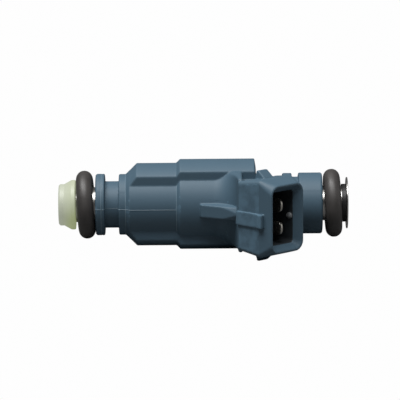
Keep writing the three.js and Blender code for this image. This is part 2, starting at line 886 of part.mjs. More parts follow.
// Sector wedges that open the cage between its ribs.
function filterWindows(start, end) {
  const reach = 2 * filterBore;
  const halfAngle = Math.PI / filterRibs - filterRibAngle;
  let windows = null;
  for (let i = 0; i < filterRibs; i += 1) {
    const middle = ((i + 0.5) / filterRibs) * 2 * Math.PI;
    const rays = [-halfAngle, 0, halfAngle].map((offset) => middle + offset);
    const section = (x) => [
      ...rays.map((a) => new THREE.Vector3(x, reach * Math.cos(a), reach * Math.sin(a))),
      new THREE.Vector3(x, filterHub * Math.cos(middle), filterHub * Math.sin(middle)),
    ];
    const wedge = skinned([section(start), section(end)]);
    windows = windows ? windows.add(wedge) : wedge;
  }
  return windows;
}

// Sleeve of mesh held inside the cage.
function filterMesh() {
  const outer = filterRadius - filterWall - RUN;
  const start = filterStart + filterFloor + BUTT;
  return ring(start, inletEnd - filterCollarLength - BUTT, outer, outer - meshThickness);
}

// ---- Assembly ----

const finishes = {
  nylon: { color: 0x5a707c, roughness: 0.5, metalness: 0 },
  translucent: { color: 0xc9cfae, roughness: 0.4, metalness: 0 },
  rubber: { color: 0x161514, roughness: 0.6, metalness: 0 },
  steel: { color: 0xb9bcc0, roughness: 0.3, metalness: 1 },
  magnetSteel: { color: 0x8d9094, roughness: 0.4, metalness: 1 },
  terminal: { color: 0xa8a49c, roughness: 0.3, metalness: 1 },
  copper: { color: 0xb5673a, roughness: 0.35, metalness: 1 },
  brass: { color: 0xb59a55, roughness: 0.35, metalness: 1 },
  blackPlastic: { color: 0x1c1c1e, roughness: 0.55, metalness: 0 },
};

const injector = new THREE.Group();

function place(name, body, finish) {
  const made = body.getMesh();
  const geometry = new THREE.BufferGeometry();
  geometry.setAttribute("position", new THREE.Float32BufferAttribute(made.vertProperties, 3));
  geometry.setIndex(new THREE.Uint32BufferAttribute(made.triVerts, 1));
  geometry.computeVertexNormals();
  const mesh = new THREE.Mesh(geometry, new THREE.MeshStandardMaterial(finishes[finish]));
  mesh.name = name;
  injector.add(mesh);
}

place("housing", housing(), "nylon");
place("terminal_upper", terminal(1), "terminal");
place("terminal_lower", terminal(-1), "terminal");
place("pintle_cap", pintleCap(), "translucent");
place("lower_o_ring", oRing(0), "rubber");
place("upper_o_ring", oRing(ringSpan), "rubber");
place("support_ring", supportRing(), "blackPlastic");
place("valve_body", valveBody(), "steel");
place("valve_seat", valveSeat(), "steel");
place("orifice_plate", orificePlate(), "steel");
place("valve_ball", valveBall(), "steel");
place("needle_tube", needleTube(), "steel");
place("armature", armature(), "magnetSteel");
place("return_spring", returnSpring(), "steel");
place("adjusting_sleeve", adjustingSleeve(), "brass");
place("spacer_sleeve", spacerSleeve(), "steel");
place("inlet_tube", inletTube(), "steel");
place("magnet_jacket", magnetJacket(), "magnetSteel");
place("flux_washer", fluxWasher(), "magnetSteel");
place("coil_bobbin", coilBobbin(), "blackPlastic");
place("coil_winding", coilWinding(), "copper");
place("filter_collar", filterCollar(), "brass");
place("filter_basket", filterBasket(), "blackPlastic");
place("filter_mesh", filterMesh(), "steel");

export default injector;
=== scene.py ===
"""Looks of a port fuel injector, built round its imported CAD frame.

The plastic body is one smooth distance field, turned into a mesh by a surface net.
The round pieces are turned again from the CAD sections, with rounded edges.
Sizes of the pieces are in millimetres and the scene is in metres.
"""

import json
import logging
import math
from dataclasses import dataclass, field
from enum import Enum
from typing import Any, Callable

import bpy
import numpy as np
from mathutils import Matrix, Vector


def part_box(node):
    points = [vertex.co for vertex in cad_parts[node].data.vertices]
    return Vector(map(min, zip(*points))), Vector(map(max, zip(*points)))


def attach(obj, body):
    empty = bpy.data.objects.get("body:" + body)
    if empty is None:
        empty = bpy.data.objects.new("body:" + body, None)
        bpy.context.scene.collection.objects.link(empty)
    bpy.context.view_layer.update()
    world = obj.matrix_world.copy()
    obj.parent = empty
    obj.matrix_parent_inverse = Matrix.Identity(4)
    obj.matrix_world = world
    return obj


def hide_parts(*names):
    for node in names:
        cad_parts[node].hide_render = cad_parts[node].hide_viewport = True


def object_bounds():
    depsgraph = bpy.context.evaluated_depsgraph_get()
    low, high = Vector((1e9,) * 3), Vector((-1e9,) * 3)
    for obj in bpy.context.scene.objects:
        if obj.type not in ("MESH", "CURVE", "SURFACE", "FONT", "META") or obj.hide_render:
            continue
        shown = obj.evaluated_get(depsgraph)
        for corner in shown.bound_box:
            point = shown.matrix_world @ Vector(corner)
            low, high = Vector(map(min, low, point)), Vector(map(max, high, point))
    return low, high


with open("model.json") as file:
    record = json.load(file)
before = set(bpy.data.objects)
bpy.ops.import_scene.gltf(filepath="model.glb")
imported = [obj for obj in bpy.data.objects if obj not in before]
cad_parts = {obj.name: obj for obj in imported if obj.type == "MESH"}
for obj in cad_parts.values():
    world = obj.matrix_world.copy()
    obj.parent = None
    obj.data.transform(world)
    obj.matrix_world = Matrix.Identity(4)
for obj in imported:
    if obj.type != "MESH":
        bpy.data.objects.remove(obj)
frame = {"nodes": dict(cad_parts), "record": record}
cad_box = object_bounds()

log = logging.getLogger("injector")

MM = 0.001
BODY = "injector_body"
NEEDLE = "needle"
FLAT = 1e-6  # metres; a point this close to a plane lies on it
SIDES = 128  # round the pieces that show
INNER_SIDES = 64  # round the pieces that the body hides
CHUNK = 60000  # points worked out at a time

Field = np.ndarray
Outline = np.ndarray


class Axis(Enum):
    """The axis that a half-plane through the injector's centre line runs along."""

    ACROSS = 1
    UP = 2


class Slot(Enum):
    """Material slots of the part."""

    NYLON = "moulded_body"
    CAP = "cap"
    SEAL = "seal"
    BLACK = "black_plastic"
    STEEL = "bright_steel"
    MAGNET = "magnet_steel"
    TERMINAL = "terminal"
    COPPER = "copper"
    BRASS = "brass"


# ---- Sections read from the CAD frame ----


def meridian(node: str, axis: Axis = Axis.UP) -> Outline:
    """Reads the section of a turned CAD node on one half-plane through the centre line.

    Args:
        node: Name of the CAD node.
        axis: The axis that the half-plane runs along.

    Returns:
        Corners (x, radius) in millimetres, in order round the closed section.
    """
    mesh = frame["nodes"][node].data
    out, other = axis.value, 3 - axis.value
    links: dict[tuple[float, float], set] = {}
    for edge in mesh.edges:
        ends = [mesh.vertices[i].co for i in edge.vertices]
        if any(abs(p[other]) > FLAT or p[out] <= FLAT for p in ends):
            continue
        a, b = ((round(p[0] / MM, 3), round(p[out] / MM, 3)) for p in ends)
        if a != b:
            links.setdefault(a, set()).add(b)
            links.setdefault(b, set()).add(a)
    start = min(links)
    chain, last, here = [start], start, min(links[start])
    while here != start:
        chain.append(here)
        onward = [p for p in links[here] if p != last]
        last, here = here, onward[0]
    return without_straight_corners(np.array(chain))


def without_straight_corners(corners: Outline) -> Outline:
    """Drops the corners of a closed outline that lie on a straight edge."""
    before = corners - np.roll(corners, 1, 0)
    after = np.roll(corners, -1, 0) - corners
    turn = before[:, 0] * after[:, 1] - before[:, 1] * after[:, 0]
    return corners[np.abs(turn) > FLAT]


def split_at_ends(corners: Outline) -> tuple[Outline, Outline]:
    """Splits a tube's section into its outside and its bore.

    Args:
        corners: Closed section whose two ends are flat.

    Returns:
        The outside's corners and the bore's, each from the low end to the high end.
    """
    low = max(range(len(corners)), key=lambda i: (-corners[i, 0], corners[i, 1]))
    high = max(range(len(corners)), key=lambda i: (corners[i, 0], corners[i, 1]))
    turned = np.roll(corners, -low, 0)
    middle = (high - low) % len(corners)
    one, two = turned[: middle + 1], np.roll(turned, -1, 0)[middle:-1][::-1]
    return (one, two) if one[:, 1].mean() > two[:, 1].mean() else (two, one)


def rounded(corners: Outline, radius: float, steps: int = 4, lead: float = 0.0) -> Outline:
    """Rounds every corner of a closed outline.

    Args:
        corners: The outline's corners.
        radius: Radius of the arcs, cut down where an edge is short.
        steps: Straight pieces in each arc.
        lead: Distance of an extra point beyond each end of an arc, or 0 for none.

    Returns:
        The rounded outline's points.
    """
    points = []
    before, after = np.roll(corners, 1, 0), np.roll(corners, -1, 0)
    for corner, a, b in zip(corners, before, after):
        to_a, to_b = a - corner, b - corner
        long_a, long_b = np.hypot(*to_a), np.hypot(*to_b)
        to_a, to_b = to_a / long_a, to_b / long_b
        half = math.acos(float(np.clip(to_a @ to_b, -1, 1))) / 2
        room = 0.42 * min(long_a, long_b)
        reach = min(radius / math.tan(half), room)
        centre = corner + (to_a + to_b) / np.hypot(*(to_a + to_b)) * reach / math.cos(half)
        first, last = corner + to_a * reach - centre, corner + to_b * reach - centre
        span = math.atan2(first[0] * last[1] - first[1] * last[0], first @ last)
        if lead and reach + lead < long_a / 2:
            points.append(corner + to_a * (reach + lead))
        for step in range(steps + 1):
            angle = span * step / steps
            cos, sin = math.cos(angle), math.sin(angle)
            arm = np.array([first[0] * cos - first[1] * sin, first[0] * sin + first[1] * cos])
            points.append(centre + arm)
        if lead and reach + lead < long_b / 2:
            points.append(corner + to_b * (reach + lead))
    return np.array(points)


# ---- Distance fields, in millimetres, negative inside ----


def round_union(a: Field, b: Field, radius: float) -> Field:
    """Joins two fields with a concave fillet of that radius."""
    meet = np.hypot(np.maximum(radius - a, 0), np.maximum(radius - b, 0))
    return np.maximum(radius, np.minimum(a, b)) - meet


def round_common(a: Field, b: Field, radius: float) -> Field:
    """Keeps what two fields share, with a convex edge of that radius."""
    meet = np.hypot(np.maximum(radius + a, 0), np.maximum(radius + b, 0))
    return np.minimum(-radius, np.maximum(a, b)) + meet


def polygon_field(u: Field, v: Field, corners: Outline) -> Field:
    """Distance in a plane to a closed outline.

    Args:
        u: First coordinates of the points.
        v: Second coordinates of the points.
        corners: The outline's corners.

    Returns:
        Signed distances.
    """
    nearest = np.full(u.shape, np.inf)
    inside = np.zeros(u.shape, bool)
    for (au, av), (bu, bv) in zip(corners, np.roll(corners, -1, 0)):
        du, dv = bu - au, bv - av
        pu, pv = u - au, v - av
        share = np.clip((pu * du + pv * dv) / (du * du + dv * dv), 0, 1)
        nearest = np.minimum(nearest, (pu - du * share) ** 2 + (pv - dv * share) ** 2)
        if dv:
            inside ^= ((av > v) != (bv > v)) & (pu < du * pv / dv)
    return np.where(inside, -1, 1) * np.sqrt(nearest)


def rectangle_field(u: Field, v: Field, half_u: Any, half_v: Any, corner: Any) -> Field:
    """Distance in a plane to a rounded rectangle round the origin.

    Args:
        u: First coordinates of the points.
        v: Second coordinates of the points.
        half_u: Half width, one value or one for each point.
        half_v: Half height, one value or one for each point.
        corner: Corner radius, one value or one for each point.

    Returns:
        Signed distances.
    """
    over_u = np.abs(u) - half_u + corner
    over_v = np.abs(v) - half_v + corner
    outside = np.hypot(np.maximum(over_u, 0), np.maximum(over_v, 0))
    return outside + np.minimum(np.maximum(over_u, over_v), 0) - corner


def slope_share(rise: float, run: float) -> float:
    """Factor that turns a field's height over a slanted wall into a true distance."""
    return run / math.hypot(rise, run)


# ---- Surface net ----


@dataclass
class SurfaceNet:
    """Turns a distance field into a mesh of nearly square faces.

    The field is sampled coarsely in blocks and finely only in those near the surface.
    """

    cell: float
    block: int = 4
    slack: float = 1.35
    passes: int = 3
    probe: float = 0.02

    def build(self, shape: Callable, low: np.ndarray, high: np.ndarray) -> tuple:
        """Meshes a field inside a box.

        Args:
            shape: Function from points (n, 3) to signed distances.
            low: Lowest corner of the box.
            high: Highest corner of the box.

        Returns:
            Vertices (n, 3) and quads (m, 4), facing out.
        """
        margin = 2 * self.cell
        origin = low - margin
        blocks = np.ceil((high - low + 2 * margin) / (self.cell * self.block)).astype(int)
        lattice = self.sample(shape, origin, blocks)
        points, quads = self.net(lattice, origin)
        return self.settle(shape, points), quads

    def sample(self, shape: Callable, origin: np.ndarray, blocks: np.ndarray) -> Field:
        """Field on the lattice of cell corners; far blocks hold only their sign."""
        side = self.cell * self.block
        grid = np.stack(np.meshgrid(*[np.arange(n) for n in blocks], indexing="ij"), -1)
        centres = origin + (grid.reshape(-1, 3) + 0.5) * side
        coarse = shape(centres)
        lattice = np.repeat(np.repeat(np.repeat(
            coarse.reshape(blocks), self.block, 0), self.block, 1), self.block, 2)
        near = np.abs(coarse) < self.slack * side * math.sqrt(3) / 2
        picked = grid.reshape(-1, 3)[near] * self.block
        steps = np.stack(np.meshgrid(*[np.arange(self.block)] * 3, indexing="ij"), -1)
        index = (picked[:, None, :] + steps.reshape(1, -1, 3)).reshape(-1, 3)
        values = shape(origin + index * self.cell)
        lattice[tuple(index.T)] = values
        return lattice

    def net(self, lattice: Field, origin: np.ndarray) -> tuple:
        """Vertices in the cells that the surface crosses, and the quads between them."""
        inside = lattice < 0
        ranges = [slice(0, -1), slice(1, None)]
        corners = [(a, b, c) for a in (0, 1) for b in (0, 1) for c in (0, 1)]
        count = sum(inside[ranges[a], ranges[b], ranges[c]].astype(np.int8) for a, b, c in corners)
        cells = np.argwhere((count > 0) & (count < 8))
        number = np.full(count.shape, -1, np.int64)
        number[tuple(cells.T)] = np.arange(len(cells))
        total = np.zeros((len(cells), 3))
        hits = np.zeros(len(cells))
        for start in corners:
            for axis in range(3):
                if start[axis]:
                    continue
                end = tuple(1 if i == axis else s for i, s in enumerate(start))
                a = lattice[tuple((cells + start).T)]
                b = lattice[tuple((cells + end).T)]
                crossed = (a < 0) != (b < 0)
                share = np.where(crossed, a / np.where(crossed, a - b, 1), 0)
                place = np.array(start, float) + share[:, None] * (np.array(end) - start)
                total += place * crossed[:, None]
                hits += crossed
        points = origin + (cells + total / hits[:, None]) * self.cell
        return points, np.concatenate([self.quads(inside, number, axis) for axis in range(3)])

    def quads(self, inside: np.ndarray, number: np.ndarray, axis: int) -> np.ndarray:
        """Faces round the lattice edges along one axis that the surface crosses."""
        first = np.moveaxis(inside, axis, 0)
        ids = np.moveaxis(number, axis, 0)
        changed = first[:-1, 1:-1, 1:-1] != first[1:, 1:-1, 1:-1]
        i, j, k = np.nonzero(changed)
        j, k = j + 1, k + 1
        loop = np.stack(
            [ids[i, j - 1, k - 1], ids[i, j, k - 1], ids[i, j, k], ids[i, j - 1, k]], 1)
        flip = first[i, j, k] ^ (axis == 1)
        loop[~flip] = loop[~flip][:, ::-1]
        return loop

    def settle(self, shape: Callable, points: np.ndarray) -> np.ndarray:
        """Moves the vertices along the field's slope onto its zero level."""
        for _ in range(self.passes):
            value = shape(points)
            slope = np.empty_like(points)
            for axis in range(3):
                step = np.zeros(3)
                step[axis] = self.probe
                slope[:, axis] = (shape(points + step) - shape(points - step)) / (2 * self.probe)
            steep = np.maximum((slope**2).sum(1), 0.25)
            move = slope * (value / steep)[:, None]
            size = np.maximum(np.linalg.norm(move, axis=1), 1e-9)
            points = points - move * np.minimum(1, 0.5 * self.cell / size)[:, None]
        return points


# ---- Meshes ----


def new_object(name: str, points: np.ndarray, faces: Any) -> bpy.types.Object:
    """Makes a bare object from vertices in millimetres and faces, and links it."""
    mesh = bpy.data.meshes.new(name)
    rows = faces.tolist() if isinstance(faces, np.ndarray) else faces
    mesh.from_pydata((np.asarray(points) * MM).tolist(), [], rows)
    mesh.validate()
    piece = bpy.data.objects.new(name, mesh)
    bpy.context.scene.collection.objects.link(piece)
    return piece


def make_piece(name: str, points: np.ndarray, faces: Any, material: bpy.types.Material,
               slot: Slot, body: str = BODY) -> bpy.types.Object:
    """Makes a finished object from arrays and rides it on a body.

    Args:
        name: The object's name.
        points: Vertices (n, 3) in millimetres.
        faces: Vertex numbers of each face.
        material: Its material.
        slot: The part's material slot; not used.
        body: The CAD body that it moves with.

    Returns:
        The object.
    """
    piece = new_object(name, points, faces)
    finish_piece(piece, material, body)
    return piece


def finish_piece(piece: bpy.types.Object, material: bpy.types.Material,
                 body: str = BODY, sharp: float = 50.0) -> None:
    """Shades, dresses and rides a finished mesh, and logs it."""
    piece.data.shade_smooth()
    piece.data.set_sharp_from_angle(angle=math.radians(sharp))
    piece.data.materials.clear()
    piece.data.materials.append(material)
    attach(piece, body)
    log.info("%s: %d faces, on %s", piece.name, len(piece.data.polygons), body)


def lathe_arrays(outline: Outline, sides: int) -> tuple[np.ndarray, np.ndarray]:
    """Turns a closed outline (x, radius) about X.

    Args:
        outline: The section's points.
        sides: Straight pieces round the axis.

    Returns:
        Vertices (n, 3) and quads (m, 4), facing out.
    """
    x, radius = outline.T
    area = np.sum(x * np.roll(radius, -1) - np.roll(x, -1) * radius)
    if area < 0:
        x, radius = x[::-1], radius[::-1]
    angle = np.arange(sides) * 2 * math.pi / sides
    points = np.stack([
        np.repeat(x, sides),
        np.outer(radius, np.cos(angle)).ravel(),
        np.outer(radius, np.sin(angle)).ravel(),
    ], 1)
    row, column = np.meshgrid(np.arange(len(x)), np.arange(sides), indexing="ij")
    next_row, next_column = (row + 1) % len(x), (column + 1) % sides
    quads = np.stack([
        row * sides + column,
        row * sides + next_column,
        next_row * sides + next_column,
        next_row * sides + column,
    ], -1).reshape(-1, 4)
    return points, quads


def subtract(piece: bpy.types.Object, points: np.ndarray, faces: Any) -> None:
    """Cuts a closed solid, given in millimetres, out of a piece's mesh."""
    cutter = new_object("cutter", points, faces)
    cut = piece.modifiers.new("cut", "BOOLEAN")
    cut.operation, cut.solver, cut.object = "DIFFERENCE", "MANIFOLD", cutter
    bpy.context.view_layer.update()
    evaluated = piece.evaluated_get(bpy.context.evaluated_depsgraph_get())
    result = bpy.data.meshes.new_from_object(evaluated)
    piece.modifiers.remove(cut)
    old, piece.data = piece.data, result
    bpy.data.meshes.remove(old)
    bpy.data.objects.remove(cutter)


# ---- Shader tools ----


class Shader:
    """Short ways to add and link nodes in one tree."""

    def __init__(self, tree: bpy.types.NodeTree) -> None:
        """Keeps the tree."""
        self.tree = tree

    def add(self, kind: str, inputs: dict | None = None, **settings: Any) -> bpy.types.Node:
        """Adds a node.

        Args:
            kind: The node's type name after ShaderNode.
            inputs: Value or source socket for each input, by name or number.
            settings: The node's own properties.

        Returns:
            The node.
        """
        node = self.tree.nodes.new("ShaderNode" + kind)
        for name, value in settings.items():
            setattr(node, name, value)
        for name, value in (inputs or {}).items():
            self.feed(node.inputs[name], value)
        return node

    def feed(self, socket: bpy.types.NodeSocket, value: Any) -> None:
        """Links a source to a socket, or sets the socket's value."""
        if isinstance(value, bpy.types.NodeSocket):
            self.tree.links.new(value, socket)
        else:
            socket.default_value = value

    def math(self, operation: str, a: Any, b: Any = 0.0) -> bpy.types.NodeSocket:
        """Output of a Math node with two inputs."""
        return self.add("Math", {0: a, 1: b}, operation=operation).outputs[0]

    def ramp(self, value: Any, low: float, high: float, to_low: Any = 0.0,
             to_high: Any = 1.0) -> bpy.types.NodeSocket:
        """Value mapped smoothly from one range to another."""
        inputs = {"Value": value, "From Min": low, "From Max": high,
                  "To Min": to_low, "To Max": to_high}
        return self.add("MapRange", inputs, interpolation_type="SMOOTHSTEP").outputs[0]

    def blend(self, share: Any, a: Any, b: Any) -> bpy.types.NodeSocket:
        """Colour that goes from a to b."""
        node = self.add("Mix", data_type="RGBA")
        self.feed(node.inputs[0], share)
        self.feed(node.inputs[6], a)
        self.feed(node.inputs[7], b)
        return node.outputs[2]

    def noise(self, vector: Any, scale: Any, detail: float = 3.0,
              rough: float = 0.55) -> bpy.types.NodeSocket:
        """Value of a noise texture at a place."""
        inputs = {"Vector": vector, "Scale": scale, "Detail": detail, "Roughness": rough}
        return self.add("TexNoise", inputs).outputs[0]


class Effect(Enum):
    """Surface effects that the materials share, each a node group."""

    GRAIN = "fine_grain"
    MOTTLE = "mottle"
    WEAR = "edge_wear"
    DUST = "dust_specks"
    TURNING = "turning_marks"


class Effects:
    """Builds each shared effect once and places it in materials."""

    OUTPUTS = {
        Effect.GRAIN: ("Height", "Mask"),
        Effect.MOTTLE: ("Mask",),
        Effect.WEAR: ("Mask",),
        Effect.DUST: ("Mask",),
        Effect.TURNING: ("Height", "Mask"),
    }
    INPUTS = {
        Effect.GRAIN: {"Scale": 6000.0, "Pits": 0.3},
        Effect.MOTTLE: {"Scale": 120.0, "Contrast": 1.0},
        Effect.WEAR: {"Threshold": 0.55, "Breakup": 500.0},
        Effect.DUST: {"Scale": 900.0, "Amount": 0.2},
        Effect.TURNING: {"Pitch": 9000.0, "Waver": 0.3},
    }

    def __init__(self) -> None:
        """Starts with no group built."""
        self.built: dict[Effect, bpy.types.NodeTree] = {}

    def place(self, shader: Shader, effect: Effect, **values: Any) -> bpy.types.Node:
        """Puts an effect in a material.

        Args:
            shader: The material's tree.
            effect: Which effect.
            values: Value of each of its inputs that isn't left as it is.

        Returns:
            The group node.
        """
        if effect not in self.built:
            self.built[effect] = self.build(effect)
        node = shader.add("Group", node_tree=self.built[effect])
        for name, value in values.items():
            shader.feed(node.inputs[name], value)
        return node

    def build(self, effect: Effect) -> bpy.types.NodeTree:
        """Makes one effect's node group with its named sockets."""
        tree = bpy.data.node_groups.new(effect.value, "ShaderNodeTree")
        for name, value in self.INPUTS[effect].items():
            socket = tree.interface.new_socket(name, in_out="INPUT", socket_type="NodeSocketFloat")
            socket.default_value = value
        for name in self.OUTPUTS[effect]:
            tree.interface.new_socket(name, in_out="OUTPUT", socket_type="NodeSocketFloat")
        shader = Shader(tree)
        source = tree.nodes.new("NodeGroupInput").outputs
        target = tree.nodes.new("NodeGroupOutput").inputs
        place = shader.add("TexCoord").outputs["Object"]
        getattr(self, "draw_" + effect.name.lower())(shader, source, target, place)
        return tree

    def draw_grain(self, shader: Shader, source: Any, target: Any, place: Any) -> None:
        """Fine moulded texture: a soft grain with some pits."""
        fine = shader.noise(place, source["Scale"], 4, 0.6)
        broad = shader.noise(place, shader.math("MULTIPLY", source["Scale"], 0.23), 2)
        pits = shader.ramp(broad, 0.62, 0.72, 0.0, source["Pits"])
        shader.feed(target["Height"], shader.math("SUBTRACT", fine, pits))
        shader.feed(target["Mask"], fine)

    def draw_mottle(self, shader: Shader, source: Any, target: Any, place: Any) -> None:
        """Broad uneven tone."""
        tone = shader.noise(place, source["Scale"], 5, 0.62)
        centred = shader.math("SUBTRACT", tone, 0.5)
        wide = shader.math("MULTIPLY", centred, source["Contrast"])
        shader.feed(target["Mask"], shader.math("ADD", wide, 0.5))

    def draw_wear(self, shader: Shader, source: Any, target: Any, place: Any) -> None:
        """Convex edges, broken up as if rubbed."""
        edge = shader.add("NewGeometry").outputs["Pointiness"]
        top = shader.math("ADD", source["Threshold"], 0.09)
        sharp = shader.ramp(edge, source["Threshold"], top)
        broken = shader.ramp(shader.noise(place, source["Breakup"], 4), 0.3, 0.62)
        shader.feed(target["Mask"], shader.math("MULTIPLY", sharp, broken))

    def draw_dust(self, shader: Shader, source: Any, target: Any, place: Any) -> None:
        """Small pale specks."""
        cells = shader.add("TexVoronoi", {"Vector": place, "Scale": source["Scale"]})
        core = shader.ramp(cells.outputs["Distance"], 0.05, 0.17, 1.0, 0.0)
        patch = shader.noise(place, shader.math("MULTIPLY", source["Scale"], 0.3), 3)
        chosen = shader.ramp(patch, 0.5, 0.66, 0.0, source["Amount"])
        shader.feed(target["Mask"], shader.math("MULTIPLY", core, chosen))

    def draw_turning(self, shader: Shader, source: Any, target: Any, place: Any) -> None:
        """Fine tool marks that run round the X axis."""
        parts = shader.add("SeparateXYZ", {0: place})
        y, z = parts.outputs[1], parts.outputs[2]
        radius = shader.math("SQRT", shader.math(
            "ADD", shader.math("MULTIPLY", y, y), shader.math("MULTIPLY", z, z)))
        stretch = shader.add("CombineXYZ", {0: parts.outputs[0], 1: radius, 2: 0.0}).outputs[0]
        rings = shader.noise(stretch, source["Pitch"], 2, 0.7)
        drift = shader.noise(place, 260.0, 2)
        waver = shader.math("MULTIPLY", drift, source["Waver"])
        shader.feed(target["Height"], rings)
        shader.feed(target["Mask"], shader.math("ADD", rings, waver))


effects = Effects()


def new_material(name: str) -> tuple[bpy.types.Material, Shader, bpy.types.Node]:
    """Makes an empty material.

    Args:
        name: The material's name.

    Returns:
        The material, its tree's tools and its Principled node.
    """
    material = bpy.data.materials.new(name)
    material.use_nodes = True
    principled = next(n for n in material.node_tree.nodes if n.type == "BSDF_PRINCIPLED")
    return material, Shader(material.node_tree), principled


def add_bump(shader: Shader, principled: bpy.types.Node, height: Any, depth: float,
             strength: float = 0.5) -> None:
    """Feeds a height in metres times depth to a material's normal."""
    bump = shader.add("Bump", {"Height": height, "Distance": depth, "Strength": strength})
    shader.feed(principled.inputs["Normal"], bump.outputs[0])


Colour = tuple[float, float, float]


def opaque(colour: Colour) -> tuple[float, float, float, float]:
    """The colour with full alpha."""
    return (*colour, 1.0)


def toned(colour: Colour, factor: float) -> tuple[float, float, float, float]:
    """A lighter or darker form of a colour."""
    return opaque(tuple(min(1.0, c * factor) for c in colour))


@dataclass(frozen=True)
class MouldedPlastic:
    """Satin moulded plastic with fine grain, uneven tone and rubbed edges."""

    name: str
    colour: Colour
    roughness: float = 0.42
    wear: float = 0.35
    grain: float = 0.000006
    specular: float = 0.5

    def build(self) -> bpy.types.Material:
        """Makes the material."""
        material, shader, principled = new_material(self.name)
        grain = effects.place(shader, Effect.GRAIN, Scale=5200.0, Pits=0.15)
        mottle = effects.place(shader, Effect.MOTTLE, Scale=170.0, Contrast=0.45)
        wear = effects.place(shader, Effect.WEAR, Threshold=0.53, Breakup=420.0)
        dust = effects.place(shader, Effect.DUST, Scale=1500.0, Amount=0.1)
        tone = shader.blend(mottle.outputs[0], toned(self.colour, 0.9), toned(self.colour, 1.1))
        fine = shader.blend(grain.outputs["Mask"], toned(self.colour, 0.86), tone)
        rubbed = shader.math("MULTIPLY", wear.outputs[0], self.wear)
        worn = shader.blend(rubbed, fine, toned(self.colour, 2.1))
        colour = shader.blend(dust.outputs[0], worn, toned(self.colour, 3.0))
        shader.feed(principled.inputs["Base Color"], colour)
        gloss = shader.ramp(mottle.outputs[0], 0.2, 0.8, self.roughness - 0.05,
                            self.roughness + 0.07)
        polished = shader.math("MULTIPLY", rubbed, 0.12)
        shader.feed(principled.inputs["Roughness"], shader.math("SUBTRACT", gloss, polished))
        principled.inputs["Specular IOR Level"].default_value = self.specular
        add_bump(shader, principled, grain.outputs["Height"], self.grain)
        return material


@dataclass(frozen=True)
class Rubber:
    """Black fluorocarbon rubber with a soft sheen and a little dust."""

    name: str = "seal_rubber"
    colour: Colour = (0.043, 0.039, 0.037)
    roughness: float = 0.5

    def build(self) -> bpy.types.Material:
        """Makes the material."""
        material, shader, principled = new_material(self.name)
        grain = effects.place(shader, Effect.GRAIN, Scale=7000.0, Pits=0.5)
        mottle = effects.place(shader, Effect.MOTTLE, Scale=240.0, Contrast=1.5)
        dust = effects.place(shader, Effect.DUST, Scale=1300.0, Amount=0.35)
        tone = shader.blend(mottle.outputs[0], toned(self.colour, 0.7), toned(self.colour, 1.35))
        colour = shader.blend(dust.outputs[0], tone, opaque((0.05, 0.045, 0.04)))
        shader.feed(principled.inputs["Base Color"], colour)
        rough = shader.ramp(mottle.outputs[0], 0.2, 0.8, self.roughness - 0.07,
                            self.roughness + 0.09)
        shader.feed(principled.inputs["Roughness"], rough)
        add_bump(shader, principled, grain.outputs["Height"], 0.00002, 0.4)
        return material


@dataclass(frozen=True)
class PaleResin:
    """Pale translucent resin, greener toward its lip, with a painted glow (emission) standing in
    for light carried inside it.
    """

    name: str = "cap_resin"
    pale: Colour = (0.250, 0.262, 0.215)
    deep: Colour = (0.245, 0.272, 0.160)
    glow_pale: Colour = (0.285, 0.305, 0.243)
    glow_deep: Colour = (0.255, 0.290, 0.150)
    roughness: float = 0.4

    def build(self) -> bpy.types.Material:
        """Makes the material."""
        material, shader, principled = new_material(self.name)
        low, high = (p.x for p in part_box("pintle_cap"))
        place = shader.add("TexCoord").outputs["Object"]
        along = shader.add("SeparateXYZ", {0: place})
        toward_lip = shader.ramp(along.outputs[0], low, high)
        below = shader.ramp(along.outputs[2], 0.002, -0.005)
        greener = shader.math("MULTIPLY", toward_lip, shader.math("ADD", below, 0.45))
        mottle = effects.place(shader, Effect.MOTTLE, Scale=330.0, Contrast=0.9)
        grain = effects.place(shader, Effect.GRAIN, Scale=5200.0, Pits=0.2)
        tone = shader.blend(greener, opaque(self.pale), opaque(self.deep))
        cloudy = shader.blend(mottle.outputs[0], toned(self.pale, 0.9), tone)
        shader.feed(principled.inputs["Base Color"], cloudy)
        # Emission is a painted glow: it stands in for light carried through the resin.
        inner = shader.blend(greener, opaque(self.glow_pale), opaque(self.glow_deep))
        dim = shader.blend(greener, toned(self.glow_pale, 0.86), toned(self.glow_deep, 0.86))
        painted_glow = shader.blend(mottle.outputs[0], dim, inner)
        shader.feed(principled.inputs["Emission Color"], painted_glow)
        principled.inputs["Emission Strength"].default_value = 1.0
        rough = shader.ramp(mottle.outputs[0], 0.2, 0.8, self.roughness, self.roughness + 0.14)
        shader.feed(principled.inputs["Roughness"], rough)
        add_bump(shader, principled, grain.outputs["Height"], 0.00001, 0.4)
        return material


@dataclass(frozen=True)
class TurnedMetal:
    """Metal with fine tool marks round the axis and faint stains."""

    name: str
    colour: Colour
    roughness: float = 0.26
    marks: float = 0.000006
    stain: float = 0.7

    def build(self) -> bpy.types.Material:
        """Makes the material."""
        material, shader, principled = new_material(self.name)
        turning = effects.place(shader, Effect.TURNING, Pitch=11000.0, Waver=0.35)
        mottle = effects.place(shader, Effect.MOTTLE, Scale=300.0, Contrast=1.5)
        tone = shader.blend(mottle.outputs[0], toned(self.colour, self.stain),
                            toned(self.colour, 1.06))
        shader.feed(principled.inputs["Base Color"], tone)
        rough = shader.ramp(turning.outputs["Mask"], 0.3, 1.0, self.roughness - 0.06,
                            self.roughness + 0.12)
        shader.feed(principled.inputs["Roughness"], rough)
        principled.inputs["Metallic"].default_value = 1.0
        add_bump(shader, principled, turning.outputs["Height"], self.marks)
        return material


